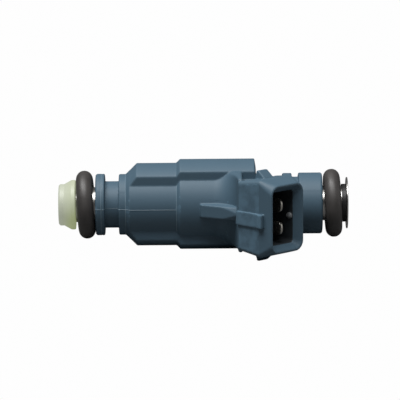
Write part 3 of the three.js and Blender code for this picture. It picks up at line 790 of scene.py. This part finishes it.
@dataclass(frozen=True)
class RolledMetal:
    """Plated strip with faint scratches and a dull patina."""

    name: str = "terminal_tin"
    colour: Colour = (0.50, 0.48, 0.43)
    roughness: float = 0.3

    def build(self) -> bpy.types.Material:
        """Makes the material."""
        material, shader, principled = new_material(self.name)
        place = shader.add("TexCoord").outputs["Object"]
        drawn = shader.add("Mapping", {"Vector": place, "Scale": (1.0, 1.0, 12.0)}).outputs[0]
        scratches = shader.noise(drawn, 1500.0, 4, 0.7)
        mottle = effects.place(shader, Effect.MOTTLE, Scale=420.0, Contrast=1.5)
        tone = shader.blend(mottle.outputs[0], toned(self.colour, 0.62), toned(self.colour, 1.1))
        shader.feed(principled.inputs["Base Color"], tone)
        rough = shader.ramp(scratches, 0.3, 0.7, self.roughness - 0.06, self.roughness + 0.14)
        shader.feed(principled.inputs["Roughness"], rough)
        principled.inputs["Metallic"].default_value = 1.0
        add_bump(shader, principled, scratches, 0.000006)
        return material


@dataclass(frozen=True)
class WovenWire:
    """Fine steel gauze, woven along and round the X axis."""

    name: str = "filter_gauze"
    colour: Colour = (0.55, 0.55, 0.53)
    pitch: float = 0.00016
    girth: float = 0.0019  # radius that the weave is laid out on

    def build(self) -> bpy.types.Material:
        """Makes the material."""
        material, shader, principled = new_material(self.name)
        place = shader.add("TexCoord").outputs["Object"]
        parts = shader.add("SeparateXYZ", {0: place}).outputs
        angle = shader.math("ARCTAN2", parts[1], parts[2])
        waves = []
        for length in (parts[0], shader.math("MULTIPLY", angle, self.girth)):
            turns = shader.math("MULTIPLY", length, math.pi / self.pitch)
            waves.append(shader.math("ABSOLUTE", shader.math("SINE", turns)))
        wires = shader.math("MAXIMUM", waves[0], waves[1])
        # The near-black between the wires is painted shade in the gauze's openings.
        colour = shader.blend(shader.ramp(wires, 0.55, 0.9), toned(self.colour, 0.04),
                              opaque(self.colour))
        shader.feed(principled.inputs["Base Color"], colour)
        shader.feed(principled.inputs["Roughness"], shader.ramp(wires, 0.5, 1.0, 0.7, 0.3))
        principled.inputs["Metallic"].default_value = 1.0
        add_bump(shader, principled, wires, 0.00004, 0.8)
        return material


class Finishes:
    """Every material of the injector, by slot."""

    def __init__(self) -> None:
        """Builds them."""
        nylon = MouldedPlastic("blue_grey_nylon", (0.062, 0.112, 0.154), 0.56,
                               specular=0.36)
        black = MouldedPlastic("black_nylon", (0.012, 0.012, 0.013), roughness=0.5, wear=0.2)
        self.by_slot = {
            Slot.NYLON: nylon.build(),
            Slot.CAP: PaleResin().build(),
            Slot.SEAL: Rubber().build(),
            Slot.BLACK: black.build(),
            Slot.STEEL: TurnedMetal("bright_steel", (0.66, 0.65, 0.62)).build(),
            Slot.MAGNET: TurnedMetal("magnet_steel", (0.36, 0.36, 0.36), 0.38).build(),
            Slot.TERMINAL: RolledMetal().build(),
            Slot.COPPER: TurnedMetal("copper_wire", (0.72, 0.32, 0.14), 0.3, 0.00003).build(),
            Slot.BRASS: TurnedMetal("drawn_brass", (0.70, 0.52, 0.25), 0.3).build(),
        }
        self.gauze = WovenWire().build()
        # Darker copy of the nylon, painted shade on the socket's deep walls.
        self.hollow = MouldedPlastic("socket_painted_shade", (0.017, 0.022, 0.026), 0.6).build()
        # Pale grey, a painted highlight on the socket's pip.
        self.pip = MouldedPlastic("socket_pip_painted_highlight", (0.19, 0.2, 0.21), 0.3, wear=0.0).build()
        # Lighter copy of the nylon, a painted highlight along the mould lines.
        self.painted_line_highlight = MouldedPlastic("nylon_line_painted_highlight", (0.15, 0.22, 0.27), 0.5, wear=0.0).build()


# ---- The plastic body ----


@dataclass
class Moulding:
    """The overmoulded plastic body with its ridges, rib and two-blade socket."""

    ridge_width: float = 11.06
    root_face: float = 32.4
    root_reach: float = 14.75
    root_half_width: float = 6.0
    root_length: float = 4.4
    root_step_back: float = 1.2
    web_half_width: float = 7.9
    web_thickness: float = 1.0
    web_edge: float = 0.55
    sweep_length: float = 5.2
    tilt: float = math.radians(45)
    hood_length: float = 9.7
    hood_thickness: float = 9.7
    hood_swell: float = 0.35
    hood_half_width: float = 8.2
    base_narrowing: float = 0.8
    rim_narrowing: float = 1.0
    rim_taper: float = 3.4
    rim_corner: float = 2.2
    hood_corner: float = 0.95
    wall_across: float = 0.45
    wall_along: float = 0.5
    lead_across: float = 1.4
    lead_along: float = 1.1
    lead_depth: float = 1.4
    cavity_depth: float = 9.0
    cavity_corner: float = 0.8
    mouth_corner: float = 1.6
    key_width: float = 2.8
    key_rise: float = 1.4
    key_setback: float = 4.65
    key_ramp: float = 1.7
    key_top: float = 0.6
    key_back: float = 0.45
    key_offset: float = 0.75
    pocket_depth: float = 1.5  # clip pocket behind each key
    pocket_wall: float = 1.0
    lug_width: float = 2.9
    lug_offset: float = -0.3
    lug_low: float = 0.4
    lug_high: float = 0.85
    lug_setback: float = 1.9
    lug_head: float = 1.4
    lug_ramp: float = 0.3
    pip_radius: float = 0.65
    pip_depth: float = 2.3
    pip_stretch: float = 1.3
    pip_edge: float = 0.08
    pip_highlight_reach: float = 1.3 * 0.65  # from the pip's middle, for its painted highlight
    # Reach of the painted shade on the socket's deep walls:
    shade_margin: float = 0.2
    shade_inset: float = 2.0  # from the hood's side to where its painted shade ends
    shade_below: float = 1.0
    core_radius: float = 0.05  # a thread this thick stays on the axis when the bore is cut
    socket_fillet: float = 0.15
    rib_fillet: float = 0.2
    key_fillet: float = 0.15
    lug_fillet: float = 0.12
    rib_start: float = 24.5
    rib_half_width: float = 1.4
    rib_rise: float = 0.75
    rib_top: float = 13.7
    bevel_start: float = 28.6  # where the rib's bevels begin
    bevel_slope: float = 0.55
    edge: float = 0.2  # radius of the moulded edges
    rim_edge: float = 0.12
    fillet: float = 0.3  # radius where the socket meets the round body
    cell: float = 0.21
    outside: Outline = field(default_factory=lambda: split_at_ends(
        meridian("housing", Axis.ACROSS))[0])
    ridged: Outline = field(default_factory=lambda: split_at_ends(meridian("housing"))[0])
    bore: Outline = field(default_factory=lambda: split_at_ends(
        meridian("housing", Axis.ACROSS))[1])

    def __post_init__(self) -> None:
        """Works out the socket's frame and the rounded sections."""
        self.outward = np.array([math.sin(self.tilt), -math.cos(self.tilt), 0])
        self.across = np.array([math.cos(self.tilt), math.sin(self.tilt), 0])
        near = np.array([self.root_face, -self.root_reach, 0]) + self.outward * self.hood_length
        self.rim_centre = near + self.across * self.hood_thickness / 2
        self.rim_half = self.hood_thickness / 2
        self.coil_radius = float(self.outside[:, 1].max())
        self.round_section = self.solid_section(self.outside)
        self.ridge_section = self.solid_section(self.ridged)

    def solid_section(self, outside: Outline) -> Outline:
        """Rounds an outside and closes it below the axis, so that the axis is inside."""
        depth = -self.coil_radius
        ends = np.array([[outside[-1, 0], depth], [outside[0, 0], depth]])
        return rounded(np.concatenate([outside, ends]), self.edge, 3)

    def to_socket(self, points: np.ndarray) -> tuple[Field, Field, Field]:
        """Places across the blades, along Z and outward from the rim."""
        local = points - self.rim_centre
        return local @ self.across, points[:, 2], local @ self.outward

    def barrel(self, points: np.ndarray) -> Field:
        """The round body with its top and bottom ridges."""
        x, y, z = points.T
        radius = np.hypot(y, z)
        body = polygon_field(x, radius, self.round_section)
        ridge = polygon_field(x, radius, self.ridge_section)
        ridge = round_common(ridge, np.abs(y) - self.ridge_width / 2, self.edge)
        return round_union(body, ridge, self.edge / 2)

    def hood(self, points: np.ndarray) -> Field:
        """The socket's outside, swollen behind its rim."""
        u, v, w = self.to_socket(points)
        half = self.hood_half_width
        taper, back = -self.rim_taper, -self.hood_length
        half_u = np.interp(w, [taper, 0], [self.rim_half + self.hood_swell, self.rim_half])
        half_v = np.interp(w, [back, taper, 0],
                           [half - self.base_narrowing, half, half - self.rim_narrowing])
        corner = np.interp(w, [taper, 0], [self.hood_corner, self.rim_corner])
        shape = round_common(rectangle_field(u, v, half_u, half_v, corner), w, self.edge)
        shape = round_common(shape, -self.clip_pocket(u, v, w), self.edge)
        shape = round_common(shape, self.root_face - points[:, 0], self.edge)
        return np.maximum(shape, points[:, 1])

    def clip_pocket(self, u: Field, v: Field, w: Field) -> Field:
        """Space behind each key for the plug's wire clip."""
        near = self.pocket_wall - self.rim_half - self.hood_swell
        floor = self.hood_half_width - self.base_narrowing - self.pocket_depth
        end = -self.key_setback - self.key_ramp - self.key_top - self.key_back
        return round_common(round_common(near - u, floor - np.abs(v), 0.3), w - end, 0.1)

    def root(self, points: np.ndarray) -> Field:
        """The thick block between the body and the hood."""
        far = self.root_face + self.root_length
        reach = self.root_reach - self.root_step_back
        inner = self.ridge_width / 2 - 1
        corners = np.array([
            [self.root_face, inner],
            [self.root_face, reach],
            [far, reach - self.root_length * math.tan(self.tilt)],
            [far, inner],
        ])
        section = polygon_field(points[:, 0], -points[:, 1], rounded(corners, self.edge, 3))
        return round_common(section, np.abs(points[:, 2]) - self.root_half_width, self.edge)

    def sweep(self, points: np.ndarray) -> Field:
        """Concave elliptical sweep from the round body out to the root's face."""
        x, out, z = points[:, 0], -points[:, 1], points[:, 2]
        surface = np.sqrt(np.maximum(self.coil_radius**2 - z**2, 1))
        start = self.root_face - self.sweep_length
        height = self.root_reach - surface
        along, down = x - start, out - self.root_reach
        scaled = np.hypot(along / self.sweep_length, down / height)
        slope = np.hypot(along / self.sweep_length**2, down / height**2)
        hollow = scaled * (scaled - 1) / np.maximum(slope, 1e-6)
        back = x - self.root_face - self.web_thickness
        shape = np.maximum.reduce([-hollow, start - x, back, down, -out])
        return round_common(shape, np.abs(z) - self.web_half_width, self.web_edge)

    def keys(self, points: np.ndarray) -> Field:
        """A wedge on each narrow side of the hood; its ramp faces the rim."""
        u, v, w = self.to_socket(points)
        wall, top = self.hood_half_width, self.hood_half_width + self.key_rise
        ramp_end = -self.key_setback - self.key_ramp
        back = ramp_end - self.key_top
        corners = np.array([
            [wall - 1, -self.key_setback],
            [wall, -self.key_setback],
            [top, ramp_end],
            [top, back],
            [wall, back - self.key_back],
            [wall - 1, back - self.key_back],
        ])
        section = polygon_field(np.abs(v), w, rounded(corners, 0.15, 3))
        return round_common(section, np.abs(u + self.key_offset) - self.key_width / 2, self.edge)

    def lug(self, points: np.ndarray) -> Field:
        """The latch lug: a low bar with a higher head toward the rim."""
        u, v, w = self.to_socket(points)
        wall = -self.rim_half - self.hood_swell
        head = -self.lug_setback - self.lug_head
        corners = np.array([
            [wall + 1, -self.hood_length],
            [wall - self.lug_low, -self.hood_length],
            [wall - self.lug_low, head - self.lug_ramp],
            [wall - self.lug_high, head],
            [wall - self.lug_high, -self.lug_setback - self.lug_ramp],
            [wall - self.lug_high + self.lug_ramp, -self.lug_setback],
            [wall + 1, -self.lug_setback],
        ])
        section = polygon_field(u, w, rounded(corners, 0.12, 3))
        return round_common(section, np.abs(v - self.lug_offset) - self.lug_width / 2, 0.15)

    def rib(self, points: np.ndarray) -> Field:
        """Gusset rib on the parting plane; bevels grow toward the socket."""
        x, out, z = points[:, 0], -points[:, 1], np.abs(points[:, 2])
        base = self.coil_radius + self.rib_rise
        rise = (self.rib_top - base) / (self.root_face - self.rib_start)
        flat = np.interp(x, [self.bevel_start, self.root_face], [self.rib_half_width, 0.1])
        top = base + rise * (x - self.rib_start) - self.bevel_slope * np.maximum(z - flat, 0)
        crown = (out - top) * slope_share(rise, 1)
        shape = round_common(crown, self.rib_start - x, 0.35)
        shape = round_common(shape, z - self.rib_half_width, 0.22)
        return np.maximum.reduce([shape, x - self.root_face - 1, 6 - out])

    def cavity(self, points: np.ndarray) -> Field:
        """The socket's hollow with its bevelled mouth."""
        u, v, w = self.to_socket(points)
        mouth_u = self.rim_half - self.wall_across
        mouth_v = self.hood_half_width - self.rim_narrowing - self.wall_along
        shift = self.lead_across / 2
        deep_u, deep_v = mouth_u - shift, mouth_v - self.lead_along
        deep = rectangle_field(u + shift, v, deep_u, deep_v, self.cavity_corner)
        deep = round_common(deep, -self.cavity_depth - w, 0.25)
        share = np.clip(1 + w / self.lead_depth, -1, 1.3)
        funnel = rectangle_field(u + (1 - share) * shift, v, deep_u + share * shift,
                                 deep_v + share * self.lead_along,
                                 np.interp(share, [0, 1], [self.cavity_corner, self.mouth_corner]))
        funnel *= slope_share(self.lead_across, self.lead_depth)
        hollow = round_union(deep, np.maximum(funnel, -1.6 * self.lead_depth - w), 0.1)
        wall = mouth_u - self.lead_across
        pip = np.sqrt((u - wall) ** 2 + v**2 + ((w + self.pip_depth) / self.pip_stretch) ** 2)
        return round_common(hollow, self.pip_radius - pip, self.pip_edge)

    def shape(self, points: np.ndarray) -> Field:
        """The whole body without its bore."""
        parts = []
        for chunk in np.array_split(points, max(1, len(points) // CHUNK)):
            socket = round_union(self.hood(chunk), self.root(chunk), self.socket_fillet)
            whole = round_union(self.barrel(chunk), socket, self.fillet)
            whole = np.minimum(whole, self.sweep(chunk))
            whole = round_union(whole, self.rib(chunk), self.rib_fillet)
            whole = round_union(whole, self.keys(chunk), self.key_fillet)
            whole = round_union(whole, self.lug(chunk), self.lug_fillet)
            parts.append(round_common(whole, -self.cavity(chunk), self.rim_edge))
        return np.concatenate(parts)

    def build(self, finishes: Finishes) -> bpy.types.Object:
        """Makes the body, opens its bore and dresses it."""
        low, high = (np.array(p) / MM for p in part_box("housing"))
        points, quads = SurfaceNet(self.cell).build(self.shape, low, high)
        points = np.clip(points, low, high)
        log.info("housing net: %d vertices", len(points))
        piece = new_object("housing_moulding", points, quads)
        past = np.array([1.0, 0.0])
        first, last = self.bore[0], self.bore[-1]
        ends = [np.array([last[0] + 1, self.core_radius]),
                np.array([first[0] - 1, self.core_radius])]
        core = np.concatenate([[first - past], self.bore[1:-1], [last + past], ends])
        cutter = without_straight_corners(core)
        subtract(piece, *lathe_arrays(cutter, SIDES))
        finish_piece(piece, finishes.by_slot[Slot.NYLON])
        # Painted shade in the socket and a painted highlight on its pip.
        self.paint_socket_shade_and_highlight(piece, finishes)
        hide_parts("housing")
        return piece

    def paint_socket_shade_and_highlight(self, piece: bpy.types.Object, finishes: Finishes) -> None:
        """Paints shade on the socket's deep walls with a darker copy of the nylon, and a highlight
        on the pip with a pale grey.

        The range also takes in the floors of the clip pockets behind the keys.
        """
        faces = piece.data.polygons
        middles = np.empty(3 * len(faces))
        faces.foreach_get("center", middles)
        u, v, w = self.to_socket(middles.reshape(-1, 3) / MM)
        mouth_u = self.rim_half - self.wall_across
        inner = mouth_u - self.lead_across
        deep = (w < -self.lead_depth) & (w > -self.cavity_depth - self.shade_below)
        side = self.hood_half_width - self.shade_inset
        across = (u > -mouth_u - self.shade_margin) & (u < inner + self.shade_margin)
        within = across & (np.abs(v) < side)
        pip = np.hypot(np.hypot(u - inner, v), w + self.pip_depth) < self.pip_highlight_reach
        for material in (finishes.hollow, finishes.pip):
            piece.data.materials.append(material)
        # Slot 1 is painted shade on the deep walls, slot 2 a painted highlight on the pip.
        index = np.where(pip & (u < inner - self.pip_edge), 2, (deep & within).astype(np.int32))
        faces.foreach_set("material_index", index.astype(np.int32))


@dataclass
class MouldLines:
    """Fine raised lines that the mould leaves on the body."""

    height: float = 0.06
    half_width: float = 0.08
    sink: float = 0.05
    bead: float = 0.08  # radius of the lines that run round
    flange_line: float = 3.4
    cone_line: float = 8.62
    step_line: float = 19.45
    front_end: float = 19.3
    rear_start: float = 36.6
    rear_end: float = 50.2

    def build(self, moulding: Moulding, finishes: Finishes) -> None:
        """Makes the parting lines and the lines round the body."""
        outside = moulding.outside
        # The lines take a lighter copy of the nylon, a painted highlight along them.
        painted_line_highlight = finishes.painted_line_highlight
        spans = {
            "socket_side": (-1, outside[0, 0], self.front_end),
            "far_front": (1, outside[0, 0], self.front_end),
            "far_rear": (1, self.rear_start, self.rear_end),
        }
        for name, (side, start, end) in spans.items():
            path = self.cut_out(outside, start, end)
            make_piece("parting_line_" + name, *self.strip(path, side), painted_line_highlight, Slot.NYLON)
        for name, x in (("flange", self.flange_line), ("cone", self.cone_line),
                        ("step", self.step_line)):
            make_piece("mould_line_" + name, *self.ring(outside, x), painted_line_highlight, Slot.NYLON)

    def cut_out(self, outside: Outline, start: float, end: float) -> Outline:
        """The part of the body's outline between two stations."""
        inside = outside[(outside[:, 0] > start) & (outside[:, 0] < end)]
        ends = [[x, self.radius_at(outside, x)] for x in (start + FLAT, end)]
        return np.array([ends[0], *inside.tolist(), ends[1]])

    def radius_at(self, outside: Outline, x: float) -> float:
        """The body's radius at a station."""
        after = int(np.argmax(outside[:, 0] > x))
        (xa, ra), (xb, rb) = outside[after - 1], outside[after]
        return float(ra + (rb - ra) * (x - xa) / (xb - xa))

    def strip(self, path: Outline, side: int) -> tuple[np.ndarray, list]:
        """A low three-sided bead along a path on the parting plane.

        Args:
            path: Stations and radii that the bead follows.
            side: 1 for the +Y side and -1 for the -Y side.

        Returns:
            Vertices and faces.
        """
        along = np.gradient(path, axis=0)
        along /= np.maximum(np.hypot(*along.T), FLAT)[:, None]
        normal = np.stack([-along[:, 1], along[:, 0]], 1)
        foot, crest = path - normal * self.sink, path + normal * self.height
        rows = np.stack([
            np.stack([foot[:, 0], side * foot[:, 1], np.full(len(path), self.half_width)], 1),
            np.stack([crest[:, 0], side * crest[:, 1], np.zeros(len(path))], 1),
            np.stack([foot[:, 0], side * foot[:, 1], np.full(len(path), -self.half_width)], 1),
        ], 1)
        last = 3 * (len(path) - 1)
        faces = [[0, 2, 1], [last, last + 1, last + 2]]
        for row in range(0, last, 3):
            for a, b in ((0, 1), (1, 2), (2, 0)):
                faces.append([row + a, row + b, row + b + 3, row + a + 3])
        if side > 0:
            faces = [face[::-1] for face in faces]
        return rows.reshape(-1, 3), faces

    def ring(self, outside: Outline, x: float) -> tuple[np.ndarray, np.ndarray]:
        """A bead round the body that stands out by the lines' height."""
        centre = self.radius_at(outside, x) + self.height - self.bead
        angle = np.arange(8) * math.pi / 4
        section = np.stack([x + self.bead * np.cos(angle), centre + self.bead * np.sin(angle)], 1)
        return lathe_arrays(section, SIDES)


# ---- Round pieces ----


@dataclass
class TurnedPiece:
    """A CAD node turned again from its own section, with rounded edges."""

    node: str
    slot: Slot
    body: str = BODY
    edge: float = 0.08
    sides: int = INNER_SIDES

    def build(self, finishes: Finishes) -> bpy.types.Object:
        """Makes the piece in place of its node."""
        outline = rounded(meridian(self.node), self.edge, 4, self.edge)
        points, quads = lathe_arrays(outline, self.sides)
        piece = make_piece(self.node + "_turned", points, quads, finishes.by_slot[self.slot],
                           self.slot, self.body)
        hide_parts(self.node)
        return piece


@dataclass
class SealRing:
    """An O-ring, slightly cocked on its seat, with a faint moulding line."""

    node: str
    cock: float  # degrees; positive leans the top toward the valve
    cord_steps: int = 48

    def build(self, finishes: Finishes) -> bpy.types.Object:
        """Makes the ring in place of its node."""
        low, high = (np.array(p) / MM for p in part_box(self.node))
        section = meridian(self.node)
        centre = (low[0] + high[0]) / 2
        half = self.cord_radius(section)
        angle = np.arange(self.cord_steps) * 2 * math.pi / self.cord_steps
        reach = half * (1 - 0.012 * np.exp(-(((np.cos(angle) - 1) / 0.004) ** 2)))
        outline = np.stack([reach * np.sin(angle), section[:, 1].mean() + reach * np.cos(angle)], 1)
        points, quads = lathe_arrays(outline, SIDES)
        lean = Matrix.Rotation(math.radians(-self.cock), 3, "Y")
        points = points @ np.array(lean).T + [centre, 0, 0]
        piece = make_piece(self.node + "_cord", points, quads, finishes.by_slot[Slot.SEAL],
                           Slot.SEAL)
        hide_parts(self.node)
        return piece

    def cord_radius(self, section: Outline) -> float:
        """Radius of the cord that the CAD section's corners lie on."""
        middle = np.array([section[:, 0].mean(), section[:, 1].mean()])
        return float(np.hypot(*(section - middle).T).mean())


@dataclass
class Terminals:
    """The two blades, with coined edges."""

    edge: float = 0.09

    def build(self, finishes: Finishes) -> None:
        """Bevels a copy of each CAD blade."""
        for node in ("terminal_upper", "terminal_lower"):
            mesh = frame["nodes"][node].data.copy()
            piece = bpy.data.objects.new(node + "_blade", mesh)
            bpy.context.scene.collection.objects.link(piece)
            self.bevel(piece)
            finish_piece(piece, finishes.by_slot[Slot.TERMINAL])
            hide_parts(node)

    def bevel(self, piece: bpy.types.Object) -> None:
        """Welds the mesh and rounds its edges."""
        weld = piece.modifiers.new("weld", "WELD")
        weld.merge_threshold = 1e-6
        round_off = piece.modifiers.new("round", "BEVEL")
        round_off.width, round_off.segments = self.edge * MM, 2
        round_off.limit_method, round_off.angle_limit = "ANGLE", math.radians(40)
        bpy.context.view_layer.update()
        evaluated = piece.evaluated_get(bpy.context.evaluated_depsgraph_get())
        result = bpy.data.meshes.new_from_object(evaluated)
        piece.modifiers.clear()
        piece.data = result


@dataclass
class ValveBall:
    """The polished ball of the valve."""

    rings: int = 32

    def build(self, finishes: Finishes) -> bpy.types.Object:
        """Makes the ball in place of its node."""
        low, high = (np.array(p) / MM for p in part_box("valve_ball"))
        centre, radius = (low[0] + high[0]) / 2, (high[1] - low[1]) / 2
        angle = np.linspace(0, math.pi, self.rings)
        arc = np.stack([centre - radius * np.cos(angle), radius * np.sin(angle) + 1e-4], 1)
        points, quads = lathe_arrays(arc, INNER_SIDES)
        piece = make_piece("valve_ball_polished", points, quads, finishes.by_slot[Slot.STEEL],
                           Slot.STEEL, NEEDLE)
        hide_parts("valve_ball")
        return piece


def dress_cad_nodes(finishes: Finishes) -> None:
    """Gives the CAD nodes that still show their materials."""
    slots = {s["node"]: s["material_slot"] for s in frame["record"]["subparts"]}
    for name, node in frame["nodes"].items():
        if node.hide_render:
            continue
        material = finishes.by_slot[Slot(slots[name])]
        if name == "filter_mesh":
            material = finishes.gauze
        node.data.materials.clear()
        node.data.materials.append(material)
        log.info("%s: CAD shape, %s", name, material.name)


# ---- Studio ----


@dataclass
class Studio:
    """Pale floor, soft lights and the camera."""

    elevation: float = 10.0  # degrees
    roll: float = -0.43
    distance: float = 0.64286
    aim: Vector = field(default_factory=lambda: Vector((24.45, 0, 0)) * MM)
    rise: float = 0.81
    lens: float = 270.0
    floor_size: float = 6.0

    def build(self) -> None:
        """Sets the whole studio up."""
        self.camera()
        self.floor()
        self.world()
        self.softbox("key", (-0.14, -0.17, 0.67), 0.7, 0.38, 8.8)
        self.softbox("right", (0.9, 0.02, 0.2), 0.4, 0.6, 0.9)
        bpy.context.scene.view_settings.view_transform = "Standard"

    def camera(self) -> None:
        """Looks along +Y, a little down."""
        angle = math.radians(self.elevation)
        up = Vector((0, math.sin(angle), math.cos(angle)))
        back = Vector((0, -math.cos(angle), math.sin(angle)))
        target = self.aim + up * self.rise * MM
        data = bpy.data.cameras.new("camera")
        data.lens, data.sensor_width, data.clip_start = self.lens, 36.0, 0.01
        data.clip_end = 50
        camera = bpy.data.objects.new("camera", data)
        camera.location = target + back * self.distance
        turn = (-back).to_track_quat("-Z", "Y").to_matrix()
        turn = turn @ Matrix.Rotation(math.radians(self.roll), 3, "Z")
        camera.rotation_euler = turn.to_euler()
        bpy.context.scene.collection.objects.link(camera)
        bpy.context.scene.camera = camera

    def floor(self) -> None:
        """A wide pale floor under the part that looks evenly white from above."""
        low = cad_box[0].z
        half = self.floor_size / 2
        mesh = bpy.data.meshes.new("floor")
        corners = [(-half, -half, low), (half, -half, low), (half, half, low), (-half, half, low)]
        mesh.from_pydata(corners, [], [(0, 1, 2, 3)])
        material, shader, principled = new_material("pale_floor")
        principled.inputs["Base Color"].default_value = (0.13, 0.13, 0.13, 1)
        principled.inputs["Roughness"].default_value = 0.9
        self.show_white(shader, principled.outputs[0])
        mesh.materials.append(material)
        floor = bpy.data.objects.new("floor", mesh)
        bpy.context.scene.collection.objects.link(floor)

    def show_white(self, shader: Shader, lit: bpy.types.NodeSocket) -> None:
        """Makes a surface plain white where it is seen directly."""
        glow = shader.add("Emission", {"Color": (1, 1, 1, 1), "Strength": 0.99})
        direct = shader.add("LightPath").outputs["Is Camera Ray"]
        mixed = shader.add("MixShader", {0: direct, 1: lit, 2: glow.outputs[0]})
        output = next(n for n in shader.tree.nodes if n.type == "OUTPUT_MATERIAL")
        shader.feed(output.inputs["Surface"], mixed.outputs[0])

    def world(self) -> None:
        """Dim grey surroundings that show white where they are seen directly."""
        world = bpy.data.worlds.new("studio")
        world.use_nodes = True
        shader = Shader(world.node_tree)
        dim = next(n for n in world.node_tree.nodes if n.type == "BACKGROUND")
        dim.inputs["Color"].default_value = (0.95, 0.97, 1.0, 1)
        dim.inputs["Strength"].default_value = 0.09
        white = shader.add("Background", {"Color": (1, 1, 1, 1), "Strength": 0.99})
        direct = shader.add("LightPath").outputs["Is Camera Ray"]
        mixed = shader.add("MixShader", {0: direct, 1: dim.outputs[0], 2: white.outputs[0]})
        output = next(n for n in world.node_tree.nodes if n.type == "OUTPUT_WORLD")
        shader.feed(output.inputs["Surface"], mixed.outputs[0])
        bpy.context.scene.world = world

    def softbox(self, name: str, place: tuple, width: float, height: float,
                power: float) -> None:
        """Adds a rectangular light aimed at the part.

        Args:
            name: The light's name.
            place: Where it stands, from the part's middle.
            width: Its width.
            height: Its height.
            power: Its power in watts.
        """
        data = bpy.data.lights.new(name, "AREA")
        data.shape, data.size, data.size_y, data.energy = "RECTANGLE", width, height, power
        light = bpy.data.objects.new(name, data)
        light.location = self.aim + Vector(place)
        light.rotation_euler = (-Vector(place)).to_track_quat("-Z", "Y").to_euler()
        bpy.context.scene.collection.objects.link(light)


# ---- Assembly ----


def turned_pieces() -> list[TurnedPiece]:
    """The round pieces whose sections are whole."""
    return [
        TurnedPiece("pintle_cap", Slot.CAP, edge=0.1, sides=SIDES),
        TurnedPiece("valve_body", Slot.STEEL, sides=SIDES),
        TurnedPiece("inlet_tube", Slot.STEEL, edge=0.1, sides=SIDES),
        TurnedPiece("support_ring", Slot.BLACK, sides=SIDES),
        TurnedPiece("filter_collar", Slot.BRASS, sides=SIDES),
        TurnedPiece("filter_mesh", Slot.STEEL, edge=0.03, sides=SIDES),
        TurnedPiece("valve_seat", Slot.STEEL, edge=0.04),
        TurnedPiece("spacer_sleeve", Slot.STEEL),
        TurnedPiece("magnet_jacket", Slot.MAGNET),
        TurnedPiece("coil_winding", Slot.COPPER),
        TurnedPiece("armature", Slot.MAGNET, NEEDLE),
    ]


def main() -> None:
    """Builds every piece and the studio round the frame."""
    logging.basicConfig(level=logging.INFO, format="%(name)s: %(message)s")
    Studio().build()
    finishes = Finishes()
    moulding = Moulding()
    moulding.build(finishes)
    MouldLines().build(moulding, finishes)
    SealRing("lower_o_ring", 3.0).build(finishes)
    SealRing("upper_o_ring", 2.5).build(finishes)
    for piece in turned_pieces():
        piece.build(finishes)
    Terminals().build(finishes)
    ValveBall().build(finishes)
    dress_cad_nodes(finishes)


if __name__ == "__main__":
    main()
